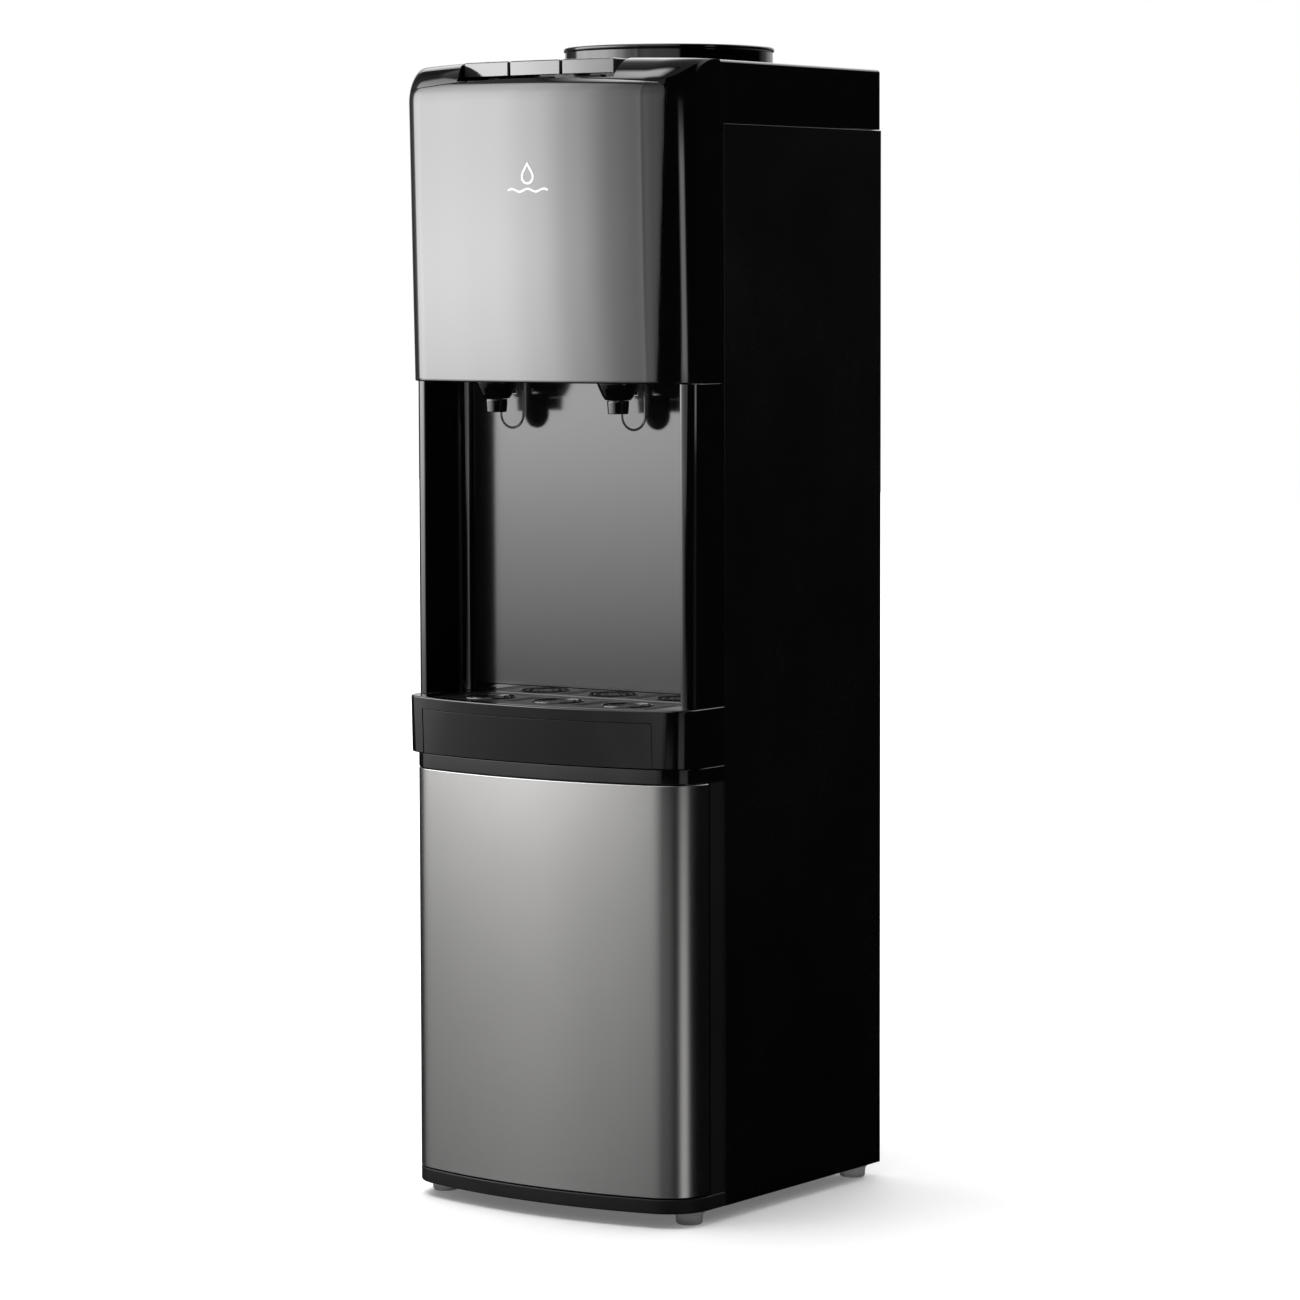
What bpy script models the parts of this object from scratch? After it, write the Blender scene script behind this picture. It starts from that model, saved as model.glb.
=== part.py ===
"""Floor-standing, top-loading water dispenser with a lower storage cabinet.

Metres, +Z up, -Y to the front, +X to the right as seen from the front.
The origin is on the floor, under the middle of the whole object.
"""

import math

import bmesh
import bpy
from mathutils import Matrix, Vector

# Overall size
HALF_WIDTH = 0.155
SKIN_HALF = 0.1545        # plastic pieces sit half a millimetre inside the sheet-metal sides
REAR = 0.1745
GAP = 0.0003

# Heights
BASE_LOW, BASE_HIGH = 0.0127, 0.0258
DOOR_LOW, DOOR_HIGH = 0.0268, 0.3904
BEZEL_LOW, BEZEL_HIGH = 0.3914, 0.4046
TRAY_LOW, TRAY_BAND, TRAY_HIGH = 0.4052, 0.4457, 0.4566
PANEL_LOW = 0.4640        # lower edge of the recess back panel
HEAD_LOW, HEAD_HIGH = 0.7397, 1.0225
SIDE_HIGH = 0.9648
COLLAR_HIGH = 1.0394

# Plan outline of the door: straight sides, round corners and one wide bow
FRONT = -0.1622
BOW = 0.0248
CORNER = 0.0425
DOOR_REAR = -0.1048
SIDE_FRONT = -0.0799      # front edge of the side panels
SEAM = -0.0805            # rear edge of the plastic front pieces
INNER_HALF = 0.1530       # half width of what sits between the side panels

# Head
HEAD_CORNER = 0.0465
HEAD_SEAM = -0.0845       # rear edge of the head above the side panels, where the top cover starts
LEAN_LOW, LEAN_HIGH = 0.0040, 0.0105
TOP_FILLET = 0.035
NOTCH_FLOOR = 1.0045
NOTCH_LEFT, NOTCH_RIGHT = -0.0835, 0.0940
NOTCH_LEFT_FRONT = -0.0745      # the left end turns inwards in front of the keys
NOTCH_REAR = -0.1025
KEYS_HALF = 0.0835              # half width of the row of keys
KEY_FRONT, KEY_BOW = -0.1474, 0.0060
KEY_LOW, KEY_HIGH = 1.0085, 1.0215
KEY_AXIS = (-0.1085, 1.0125)   # y, z

# Cup recess
BACK_PANEL_Y = -0.0750
BACK_PANEL_HALF = 0.1240
POST_FRONT = -0.1272
POST_CORNER = 0.0138
POST_INNER = 0.1422
BAY_HALF = 0.1385
BAY_FILLET = 0.0100

# Taps
TAP_X, TAP_Y = 0.067, -0.1165
PADDLE_AXIS = (-0.0960, 0.7350)  # y, z

# Door hinge
HINGE_X, HINGE_Y = 0.1430, -0.1176
PIN_RADIUS, PIN_HOLE = 0.0030, 0.0033

# Bottle collar and tanks
COLLAR_Y = 0.057
COLLAR_RADIUS = 0.0960
HOT_TANK_Y = 0.090


# ---------------------------------------------------------------- scene and materials

def clear_scene():
    for obj in list(bpy.data.objects):
        bpy.data.objects.remove(obj, do_unlink=True)


def new_collection(name, hidden=False):
    collection = bpy.data.collections.new(name)
    collection.hide_render = hidden
    bpy.context.scene.collection.children.link(collection)
    return collection


def material(name, color, roughness, metallic=0.0, alpha=1.0):
    made = bpy.data.materials.new(name)
    made.use_nodes = True
    shader = made.node_tree.nodes["Principled BSDF"]
    shader.inputs["Base Color"].default_value = (*color, 1.0)
    shader.inputs["Roughness"].default_value = roughness
    shader.inputs["Metallic"].default_value = metallic
    shader.inputs["Alpha"].default_value = alpha
    return made


clear_scene()
PARTS = new_collection("water_dispenser")
CUTTERS = new_collection("cutters", hidden=True)

GLOSS_BLACK = material("gloss_black", (0.010, 0.010, 0.011), 0.12)
PANEL_BLACK = material("panel_black", (0.012, 0.012, 0.013), 0.16)
MATTE_BLACK = material("matte_black", (0.018, 0.018, 0.019), 0.45)
COMPRESSOR_BLACK = material("compressor_black", (0.020, 0.020, 0.020), 0.35)
PAINTED_BLACK = material("painted_black", (0.012, 0.012, 0.013), 0.38)
MIRROR_BLACK = material("mirror_black", (0.020, 0.020, 0.022), 0.06)
KEY_GREY = material("key_grey", (0.30, 0.30, 0.31), 0.22)
DOOR_STEEL = material("door_steel", (0.42, 0.42, 0.43), 0.30, 1.0)
TANK_STEEL = material("tank_steel", (0.60, 0.60, 0.61), 0.25, 1.0)
COPPER = material("copper", (0.72, 0.38, 0.24), 0.30, 1.0)
FOAM = material("foam", (0.80, 0.78, 0.72), 0.90)
SILICONE = material("silicone", (0.80, 0.80, 0.78), 0.40)
FOOT_RUBBER = material("foot_rubber", (0.35, 0.35, 0.35), 0.35)
INNER_WHITE = material("inner_white", (0.70, 0.70, 0.69), 0.40)
BOARD_GREEN = material("board_green", (0.05, 0.18, 0.08), 0.50)
SWITCH_RED = material("switch_red", (0.55, 0.03, 0.02), 0.30)
SWITCH_GREEN = material("switch_green", (0.03, 0.35, 0.08), 0.30)


# ---------------------------------------------------------------- modelling helpers

def add(name, mesh, look, cutter=False):
    """Put a mesh into the scene as a part, or as a hidden cutter."""
    obj = bpy.data.objects.new(name, mesh)
    (CUTTERS if cutter else PARTS).objects.link(obj)
    if look is not None:
        mesh.materials.append(look)
    if cutter:
        obj.hide_render = True
        obj.display_type = "WIRE"
    return obj


def finish_bmesh(name, bm, look, cutter=False, smooth=False):
    bmesh.ops.recalc_face_normals(bm, faces=bm.faces)
    mesh = bpy.data.meshes.new(name)
    bm.to_mesh(mesh)
    bm.free()
    if smooth:
        mesh.shade_smooth()
        mesh.set_sharp_from_angle(angle=math.radians(35))
    return add(name, mesh, look, cutter)


def block(name, low, high, look=None, cutter=False, bevel=0.0):
    """A box between two corners."""
    bm = bmesh.new()
    bmesh.ops.create_cube(bm, size=1.0)
    size = Vector(high) - Vector(low)
    middle = (Vector(high) + Vector(low)) / 2
    bmesh.ops.scale(bm, vec=size, verts=bm.verts)
    bmesh.ops.translate(bm, vec=middle, verts=bm.verts)
    obj = finish_bmesh(name, bm, look, cutter)
    if bevel:
        round_edges(obj, bevel)
    return obj


def round_edges(obj, width, segments=2, angle=40):
    bevel = obj.modifiers.new("round", "BEVEL")
    bevel.width = width
    bevel.segments = segments
    bevel.limit_method = "ANGLE"
    bevel.angle_limit = math.radians(angle)


def rod(name, start, end, radius, look=None, cutter=False, sides=24):
    """A cylinder between two points."""
    start, end = Vector(start), Vector(end)
    bm = bmesh.new()
    bmesh.ops.create_cone(bm, cap_ends=True, segments=sides, radius1=radius, radius2=radius,
                          depth=(end - start).length)
    turn = (end - start).to_track_quat("Z", "Y").to_matrix().to_4x4()
    bmesh.ops.transform(bm, matrix=Matrix.Translation((start + end) / 2) @ turn, verts=bm.verts)
    return finish_bmesh(name, bm, look, cutter, smooth=True)


def turned(name, profile, centre, look=None, cutter=False, steps=32, closed=False):
    """A profile of (radius, height) points, top to bottom on its outer side, turned about a vertical axis."""
    bm = bmesh.new()
    points = [bm.verts.new((radius, 0.0, height)) for radius, height in profile]
    pairs = list(zip(points, points[1:]))
    if closed:
        pairs.append((points[-1], points[0]))
    for first, second in pairs:
        bm.edges.new((first, second))
    mesh = bpy.data.meshes.new(name)
    bm.to_mesh(mesh)
    bm.free()
    obj = add(name, mesh, look, cutter)
    obj.location = centre
    screw = obj.modifiers.new("turn", "SCREW")
    screw.steps = steps
    screw.render_steps = steps
    screw.use_merge_vertices = True
    screw.merge_threshold = 0.00001
    screw.use_smooth_shade = True
    return obj


def from_curve(name, curve, look, cutter=False, matrix=None):
    """Turn a filled or bevelled curve into a mesh object with its caps welded."""
    holder = bpy.data.objects.new(name + "_curve", curve)
    if matrix is not None:
        holder.matrix_world = matrix
    bpy.context.scene.collection.objects.link(holder)
    bpy.context.view_layer.update()
    evaluated = holder.evaluated_get(bpy.context.evaluated_depsgraph_get())
    mesh = bpy.data.meshes.new_from_object(evaluated)
    mesh.transform(holder.matrix_world)
    bpy.data.objects.remove(holder, do_unlink=True)
    bm = bmesh.new()
    bm.from_mesh(mesh)
    bmesh.ops.remove_doubles(bm, verts=bm.verts, dist=0.00001)
    bmesh.ops.recalc_face_normals(bm, faces=bm.faces)
    bm.to_mesh(mesh)
    bm.free()
    mesh.name = name
    mesh.materials.clear()
    mesh.shade_smooth()
    mesh.set_sharp_from_angle(angle=math.radians(35))
    return add(name, mesh, look, cutter)


def plate(name, outline, low, high, look=None, cutter=False, matrix=None):
    """A flat outline, thickened from height low to height high. A matrix turns it to another plane."""
    curve = bpy.data.curves.new(name, "CURVE")
    curve.dimensions = "2D"
    curve.fill_mode = "BOTH"
    curve.extrude = (high - low) / 2
    spline = curve.splines.new("POLY")
    spline.points.add(len(outline) - 1)
    for point, (x, y) in zip(spline.points, outline):
        point.co = (x, y, 0.0, 1.0)
    spline.use_cyclic_u = True
    lift = Matrix.Translation((0.0, 0.0, (low + high) / 2))
    return from_curve(name, curve, look, cutter, lift if matrix is None else matrix @ lift)


def tube(name, route, radius, look, sides_level=2):
    """A pipe of one radius along a route of points."""
    curve = bpy.data.curves.new(name, "CURVE")
    curve.dimensions = "3D"
    curve.bevel_depth = radius
    curve.bevel_resolution = sides_level
    curve.use_fill_caps = True
    spline = curve.splines.new("POLY")
    spline.points.add(len(route) - 1)
    for point, place in zip(spline.points, route):
        point.co = (*place, 1.0)
    return from_curve(name, curve, look)


def rounded_route(points, radius, steps=4):
    """Replace each inner corner of a route by a short arc."""
    corners = [Vector(p) for p in points]
    route = [corners[0]]
    for before, corner, after in zip(corners, corners[1:], corners[2:]):
        into, out = (before - corner).normalized(), (after - corner).normalized()
        reach = min(radius, (before - corner).length * 0.45, (after - corner).length * 0.45)
        first, last = corner + into * reach, corner + out * reach
        for i in range(steps + 1):
            t = i / steps
            route.append(first * (1 - t) ** 2 + corner * 2 * t * (1 - t) + last * t ** 2)
    route.append(corners[-1])
    return route


def loft(name, rings, look=None, cutter=False):
    """Skin a stack of rings that have the same number of points, and close both ends."""
    bm = bmesh.new()
    levels = [[bm.verts.new(point) for point in ring] for ring in rings]
    for lower, upper in zip(levels, levels[1:]):
        for i, corner in enumerate(lower):
            j = (i + 1) % len(lower)
            bm.faces.new((corner, lower[j], upper[j], upper[i]))
    bm.faces.new(levels[0])
    bm.faces.new(levels[-1])
    return finish_bmesh(name, bm, look, cutter, smooth=True)


def boolean(target, other, operation="DIFFERENCE"):
    modifier = target.modifiers.new(operation.lower(), "BOOLEAN")
    modifier.operation = operation
    modifier.object = other
    return target


def cut(target, *cutters):
    for cutter in cutters:
        boolean(target, cutter)
    return target


def join(target, *pieces):
    for piece in pieces:
        boolean(target, piece, "UNION")
    return target


# ---------------------------------------------------------------- outlines

def bow_arc(half, front, bow, corner):
    """Radius and centre of the wide front arc, the corner circle's centre, and the angle where they meet."""
    radius = (half * half + bow * bow) / (2 * bow)
    centre = front + radius
    corner_x = half - corner
    corner_y = centre - math.sqrt((radius - corner) ** 2 - corner_x ** 2)
    return radius, centre, corner_x, corner_y, math.atan2(corner_x, centre - corner_y)


def bow_outline(half, front, bow, corner, rear, rear_half=None, step_y=SEAM, arc_steps=10, corner_steps=4):
    """Closed plan outline: rear left, left side, front bow, right side, rear right."""
    radius, centre, corner_x, corner_y, meet = bow_arc(half, front, bow, corner)
    right = []
    for i in range(corner_steps + 1):
        angle = math.pi / 2 + (meet - math.pi / 2) * i / corner_steps
        right.append((corner_x + corner * math.sin(angle), corner_y - corner * math.cos(angle)))
    bow_points = []
    for i in range(1, arc_steps):
        angle = meet - 2 * meet * i / arc_steps
        bow_points.append((radius * math.sin(angle), centre - radius * math.cos(angle)))
    if rear_half is None:
        side = [(half, rear)]
    else:
        side = [(rear_half, rear), (rear_half, step_y), (half, step_y)]
    mirrored = [(-x, y) for x, y in reversed(side + right)]
    return side + right + bow_points + mirrored


def front_y(x, half, front, bow, corner):
    """The outline's front surface at x."""
    radius, centre, corner_x, corner_y, meet = bow_arc(half, front, bow, corner)
    if abs(x) <= radius * math.sin(meet):
        return centre - math.sqrt(radius * radius - x * x)
    return corner_y - math.sqrt(max(corner * corner - (abs(x) - corner_x) ** 2, 0.0))


def lean(z):
    """How far the head's front stands proud of the door's at height z."""
    fillet_start = HEAD_HIGH - TOP_FILLET
    slope = (LEAN_HIGH - LEAN_LOW) / (fillet_start - HEAD_LOW)
    proud = LEAN_LOW + slope * (min(z, fillet_start) - HEAD_LOW)
    rise = min(max((z - fillet_start) / TOP_FILLET, 0.0), 1.0)
    return proud - TOP_FILLET * (1 - math.sqrt(1 - rise * rise))


def head_corner(z):
    """The head's plan corners get tighter where the front rounds over into the top."""
    straight = LEAN_HIGH if z > HEAD_HIGH - TOP_FILLET else lean(z)
    return HEAD_CORNER - 0.56 * (straight - lean(z))


def head_y(x, z):
    return front_y(x, SKIN_HALF, FRONT - lean(z), BOW, head_corner(z))


def tray_share(z):
    return min(max((z - TRAY_LOW) / (TRAY_HIGH - TRAY_LOW), 0.0), 1.0)


TRAY_FRONT_LOW, TRAY_FRONT_HIGH = -0.1669, -0.1744
TRAY_BOW_LOW, TRAY_BOW_HIGH = 0.0256, 0.0340
TRAY_CORNER = 0.030


def tray_shape(z):
    share = tray_share(z)
    return (TRAY_FRONT_LOW + (TRAY_FRONT_HIGH - TRAY_FRONT_LOW) * share,
            TRAY_BOW_LOW + (TRAY_BOW_HIGH - TRAY_BOW_LOW) * share)


def tray_y(x, z):
    front, bow = tray_shape(z)
    return front_y(x, HALF_WIDTH, front, bow, TRAY_CORNER)


def skin_patch(name, half_at, top_at, low, surface, outer, inner, look=None, cutter=False,
               columns=16, rows=9):
    """A slab on surface(x, z), from outer to inner metres behind it, finer towards its top and ends."""
    bm = bmesh.new()
    grid = {}
    for side, shift in ((0, outer), (1, inner)):
        for i in range(rows + 1):
            for j in range(columns + 1):
                across = math.sin(math.pi * (j / columns - 0.5))
                top = top_at(across)
                z = low + (top - low) * math.sin(math.pi / 2 * i / rows)
                x = half_at(z) * across
                grid[side, i, j] = bm.verts.new((x, surface(x, z) + shift, z))
    for i in range(rows):
        for j in range(columns):
            for side in (0, 1):
                bm.faces.new([grid[side, a, b] for a, b in ((i, j), (i, j + 1), (i + 1, j + 1), (i + 1, j))])
    border = [(0, j) for j in range(columns)] + [(i, columns) for i in range(rows)]
    border += [(rows, columns - j) for j in range(columns)] + [(rows - i, 0) for i in range(rows)]
    for first, second in zip(border, border[1:] + border[:1]):
        bm.faces.new((grid[(0, *first)], grid[(0, *second)], grid[(1, *second)], grid[(1, *first)]))
    return finish_bmesh(name, bm, look, cutter, smooth=True)


# ---------------------------------------------------------------- base, sides and rear

def build_base():
    outline = bow_outline(HALF_WIDTH, FRONT, BOW, CORNER, 0.1728, rear_half=INNER_HALF)
    base = plate("base_plinth", outline, BASE_LOW, BASE_HIGH, MATTE_BLACK)
    pan = block("base_pan", (-0.1480, -0.0690, BASE_LOW + 0.003), (0.1480, 0.1680, 0.05), cutter=True)
    bore = rod("base_bore", (HINGE_X, HINGE_Y, 0.0180), (HINGE_X, HINGE_Y, 0.03), PIN_HOLE, cutter=True)
    cut(base, pan, bore)


def build_feet():
    profile = [(0.0, BASE_LOW - GAP), (0.0138, BASE_LOW - GAP), (0.0138, 0.0095), (0.0128, 0.0012),
               (0.0116, 0.0), (0.0, 0.0)]
    for end, y in (("front", -0.1088), ("rear", 0.1549)):
        for side, x in (("left", -0.136), ("right", 0.136)):
            turned(f"foot_{end}_{side}", profile, (x, y, 0.0), FOOT_RUBBER, steps=20)


def build_side_panels():
    thick, flange = 0.0012, 0.012
    outline = [(HALF_WIDTH, SIDE_FRONT), (HALF_WIDTH, REAR - 0.002), (HALF_WIDTH - 0.002, REAR),
               (HALF_WIDTH - flange, REAR), (HALF_WIDTH - flange, REAR - thick),
               (HALF_WIDTH - thick, REAR - thick), (HALF_WIDTH - thick, SIDE_FRONT)]
    for side, sign in (("left", -1), ("right", 1)):
        plate(f"side_panel_{side}", [(sign * x, y) for x, y in outline], BASE_LOW, SIDE_HIGH, PAINTED_BLACK)


REAR_SHEET = 0.1500       # inner face of the rear sheets
SHEET = 0.0012


def rear_sheet(name, low, high):
    lip = 0.010
    half = INNER_HALF
    outline = [(-half, REAR_SHEET - lip), (-half, REAR_SHEET + SHEET), (half, REAR_SHEET + SHEET),
               (half, REAR_SHEET - lip), (half - SHEET, REAR_SHEET - lip), (half - SHEET, REAR_SHEET),
               (-half + SHEET, REAR_SHEET), (-half + SHEET, REAR_SHEET - lip)]
    return plate(name, outline, low, high, PAINTED_BLACK)


COIL_X, COIL_LOW, COIL_PITCH, COIL_PASSES, COIL_Y = 0.112, 0.400, 0.052, 9, 0.1610
SWITCH_Z, SWITCH_XS = 0.9100, (-0.0850, -0.0550)
CORD_PLACE = (0.110, 0.070)   # x, z
DRAIN_PLACE = (-0.100, 0.110)


def build_rear():
    upper = rear_sheet("rear_cover", 0.3000, 0.9640)
    cut(upper, rod("coil_hole", (COIL_X, 0.14, COIL_LOW), (COIL_X, 0.16, COIL_LOW), 0.0045, cutter=True),
        block("switch_hole", (-0.1030, 0.14, 0.8940), (-0.0370, 0.16, 0.9260), cutter=True))
    lower = rear_sheet("vent_cover", 0.0270, 0.2985)
    for i in range(7):
        z = 0.150 + 0.018 * i
        cut(lower, block(f"vent_slot_{i}", (-0.100, 0.14, z), (0.100, 0.16, z + 0.006), cutter=True))
    x, z = CORD_PLACE
    cut(lower, rod("cord_hole", (x, 0.14, z), (x, 0.16, z), 0.0085, cutter=True))
    x, z = DRAIN_PLACE
    cut(lower, rod("drain_hole", (x, 0.14, z), (x, 0.16, z), 0.0085, cutter=True))


def across_y(name, profile, x, z, look):
    """A turned piece whose axis runs along Y: profile heights are distances behind the object's middle."""
    obj = turned(name, profile, (x, 0.0, z), look, steps=16, closed=True)
    obj.rotation_euler = (-math.pi / 2, 0.0, 0.0)
    return obj


def build_rear_fittings():
    x, z = CORD_PLACE
    front, back = REAR_SHEET - GAP, REAR_SHEET + SHEET + GAP
    across_y("cord_bushing", [(0.0040, back + 0.010), (0.0065, back + 0.010), (0.0085, back + 0.003),
                              (0.0125, back + 0.002), (0.0125, back), (0.0082, back), (0.0082, front),
                              (0.0110, front), (0.0110, front - 0.0025), (0.0040, front - 0.0025)],
             x, z, MATTE_BLACK)
    x, z = DRAIN_PLACE
    across_y("drain_cap", [(0.0042, 0.1720), (0.0102, 0.1720), (0.0110, 0.1705), (0.0110, 0.1530),
                           (0.0076, 0.1530), (0.0076, 0.1668), (0.0042, 0.1668)],
             x, z, MATTE_BLACK)
    housing = block("switch_housing", (-0.1025, REAR_SHEET - 0.0075, 0.8945), (-0.0375, 0.1508, 0.9255),
                    MATTE_BLACK)
    flange = block("switch_flange", (-0.1060, REAR_SHEET + SHEET + GAP, 0.8905),
                   (-0.0340, 0.1555, 0.9295), cutter=True)
    bridge = block("switch_bridge", (-0.1020, 0.1505, 0.8950), (-0.0380, 0.1520, 0.9250), cutter=True)
    join(housing, bridge, flange)
    for i, x in enumerate(SWITCH_XS):
        cut(housing, block(f"switch_bay_{i}", (x - 0.0085, 0.1450, SWITCH_Z - 0.0125),
                           (x + 0.0085, 0.1600, SWITCH_Z + 0.0125), cutter=True))
    rocker("switch_hot", SWITCH_XS[0], SWITCH_RED)
    rocker("switch_cold", SWITCH_XS[1], SWITCH_GREEN)


ROCKER_AXIS_Y = 0.1520
ROCKER_TILT = 8.0


def rocker(name, x, look):
    """A rocker whose outer face is a shallow V, tilted to its off side. Its origin is on its pivot."""
    half, reach = 0.0105, 0.0060
    profile = [(-0.0050, -half * 0.7), (reach - 0.0016, -half), (reach - 0.0030, 0.0), (reach - 0.0016, half),
               (-0.0050, half * 0.7)]
    upright = Matrix(((0, 0, 1, 0), (1, 0, 0, 0), (0, 1, 0, 0), (0, 0, 0, 1)))
    obj = plate(name, profile, -0.0078, 0.0078, look, matrix=upright)
    obj.location = (x, ROCKER_AXIS_Y, SWITCH_Z)
    obj.rotation_euler = (math.radians(-ROCKER_TILT), 0.0, 0.0)


# ---------------------------------------------------------------- cooling and heating

def build_cooling():
    can = turned("compressor", [(0.0, 0.128), (0.020, 0.1262), (0.038, 0.119), (0.0470, 0.108),
                                (0.0500, 0.094), (0.0500, 0.066), (0.0525, 0.065), (0.0525, 0.061),
                                (0.0500, 0.060), (0.0490, 0.034), (0.044, 0.0245), (0.0, 0.0245)],
                 (0.0, 0.0930, 0.0), COMPRESSOR_BLACK, steps=20)
    join(can, block("compressor_plate", (-0.075, 0.0560, 0.0162), (0.075, 0.1300, 0.0250), cutter=True))
    route = [(0.0545, 0.093, 0.080), (0.085, 0.093, 0.080), (0.1000, 0.115, 0.100), (COIL_X, 0.125, 0.160),
             (COIL_X, 0.1310, 0.360), (COIL_X, 0.1310, COIL_LOW), (COIL_X, 0.1395, COIL_LOW)]
    tube("discharge_pipe", rounded_route(route, 0.012, 3), 0.0028, COPPER, 1)
    tube("condenser_coil", coil_route(), 0.0028, PAINTED_BLACK)


def coil_route():
    """Passes across the rear, joined by half-round bends, after a lead-in through the rear cover."""
    route = [(COIL_X, 0.1400, COIL_LOW), (COIL_X, 0.1500, COIL_LOW), (COIL_X, 0.1570, COIL_LOW),
             (COIL_X - 0.002, 0.1600, COIL_LOW), (COIL_X - 0.006, COIL_Y, COIL_LOW)]
    radius = COIL_PITCH / 2
    for i in range(COIL_PASSES):
        z = COIL_LOW + COIL_PITCH * i
        sign = -1 if i % 2 == 0 else 1
        end = sign * (COIL_X - 0.002)
        if i == COIL_PASSES - 1:
            route.append((end, COIL_Y, z))
            break
        for k in range(6):
            angle = -math.pi / 2 + math.pi * k / 5
            route.append((end + sign * radius * math.cos(angle), COIL_Y,
                          z + radius + radius * math.sin(angle)))
    return route


def build_tanks():
    centre = (0.0, COLLAR_Y, 0.0)
    wall = 0.0012
    outer, low, high = 0.0700, 0.7900, 0.9650
    turned("cold_tank", [(0.0, low + wall), (outer - 0.0085, low + wall), (outer - wall, low + 0.0085),
                         (outer - wall, high), (outer + 0.003, high), (outer + 0.003, high - 0.0015),
                         (outer, high - 0.0015), (outer, low + 0.008), (outer - 0.008, low), (0.0, low)],
           centre, TANK_STEEL, steps=28)
    foam = turned("tank_insulation", [(0.0, 0.7890), (0.0795, 0.7890), (0.0795, 0.9600), (0.0895, 0.9600),
                                      (0.0895, 0.7720), (0.0, 0.7720)], centre, FOAM, steps=28)
    for x in (-0.030, 0.030):
        cut(foam, rod(f"foam_hole_{x}", (x, COLLAR_Y, 0.76), (x, COLLAR_Y, 0.80), 0.0060, cutter=True))
    route = []
    turns, steps, around = 5, 12, 0.0760
    for i in range(turns * steps + 1):
        angle = 2 * math.pi * i / steps
        route.append((around * math.cos(angle), COLLAR_Y + around * math.sin(angle),
                      0.8150 + 0.018 * i / steps))
    tube("evaporator_coil", route, 0.0025, COPPER, sides_level=1)

    hot = (0.0, HOT_TANK_Y, 0.0)
    turned("hot_tank", [(0.0, 0.5012), (0.0430, 0.5050), (0.0488, 0.5185), (0.0488, 0.6415),
                        (0.0443, 0.6550), (0.0060, 0.6630), (0.0060, 0.6750), (0.0075, 0.6750),
                        (0.0075, 0.6645), (0.0450, 0.6565), (0.0500, 0.6420), (0.0500, 0.5180),
                        (0.0440, 0.5035), (0.0, 0.5000)],
           hot, TANK_STEEL, steps=24)
    turned("heater_band", [(0.0504, 0.6100), (0.0540, 0.6090), (0.0540, 0.5510), (0.0504, 0.5500)],
           hot, TANK_STEEL, steps=24, closed=True)


def build_tubes():
    hose = 0.0040
    feed = [(-0.030, COLLAR_Y, 0.7895), (-0.030, COLLAR_Y, 0.745), (-0.080, 0.058, 0.700),
            (-0.080, 0.058, 0.500), (-0.050, 0.080, 0.470), (0.0, HOT_TANK_Y, 0.470),
            (0.0, HOT_TANK_Y, 0.4996)]
    tube("hot_feed_tube", rounded_route(feed, 0.018), hose, SILICONE, 1)
    hot = [(0.0, HOT_TANK_Y, 0.6754), (0.0, HOT_TANK_Y, 0.700), (-0.040, 0.020, 0.735),
           (-TAP_X, -0.040, 0.7610), (-TAP_X, -0.0856, 0.7610)]
    tube("hot_outlet_tube", rounded_route(hot, 0.018), hose, SILICONE, 1)
    cold = [(0.030, COLLAR_Y, 0.7895), (0.030, COLLAR_Y, 0.7610), (TAP_X, 0.010, 0.7610),
            (TAP_X, -0.0856, 0.7610)]
    tube("cold_outlet_tube", rounded_route(cold, 0.018), hose, SILICONE, 1)
    x, z = DRAIN_PLACE
    drain = [(-0.0536, HOT_TANK_Y + 0.004, 0.5300), (-0.070, 0.100, 0.5300), (x, 0.115, 0.500),
             (x, 0.115, 0.160), (x, 0.125, z), (x, 0.1660, z)]
    tube("drain_tube", rounded_route(drain, 0.018), 0.0060, SILICONE, 2)


# ---------------------------------------------------------------- lower cabinet and door

def build_cabinet():
    frame = block("cabinet_liner", (-SKIN_HALF, DOOR_REAR + 0.0008, 0.0262), (SKIN_HALF, SEAM, 0.3908),
                  MATTE_BLACK)
    box = block("liner_box", (-0.1210, SEAM - 0.001, 0.0390), (0.1210, 0.0350, 0.3750), cutter=True)
    join(frame, box)
    hollow = block("liner_hollow", (-0.1185, -0.130, 0.0415), (0.1185, 0.0325, 0.3725), cutter=True)
    relief = rod("hinge_relief", (HINGE_X, HINGE_Y, 0.0), (HINGE_X, HINGE_Y, 0.5), 0.0190, cutter=True,
                 sides=40)
    finger = block("finger_notch", (-0.170, -0.130, 0.170), (-0.1350, -0.0900, 0.260), cutter=True)
    catch = block("catch_pocket", (-0.0903, -0.130, 0.3772), (-0.0497, -0.0947, 0.3863), cutter=True)
    cut(frame, hollow, relief, finger, catch)
    block("magnet_catch", (-0.0900, DOOR_REAR + 0.0012, 0.3775), (-0.0500, -0.0950, 0.3860), FOOT_RUBBER,
          bevel=0.0006)


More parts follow.
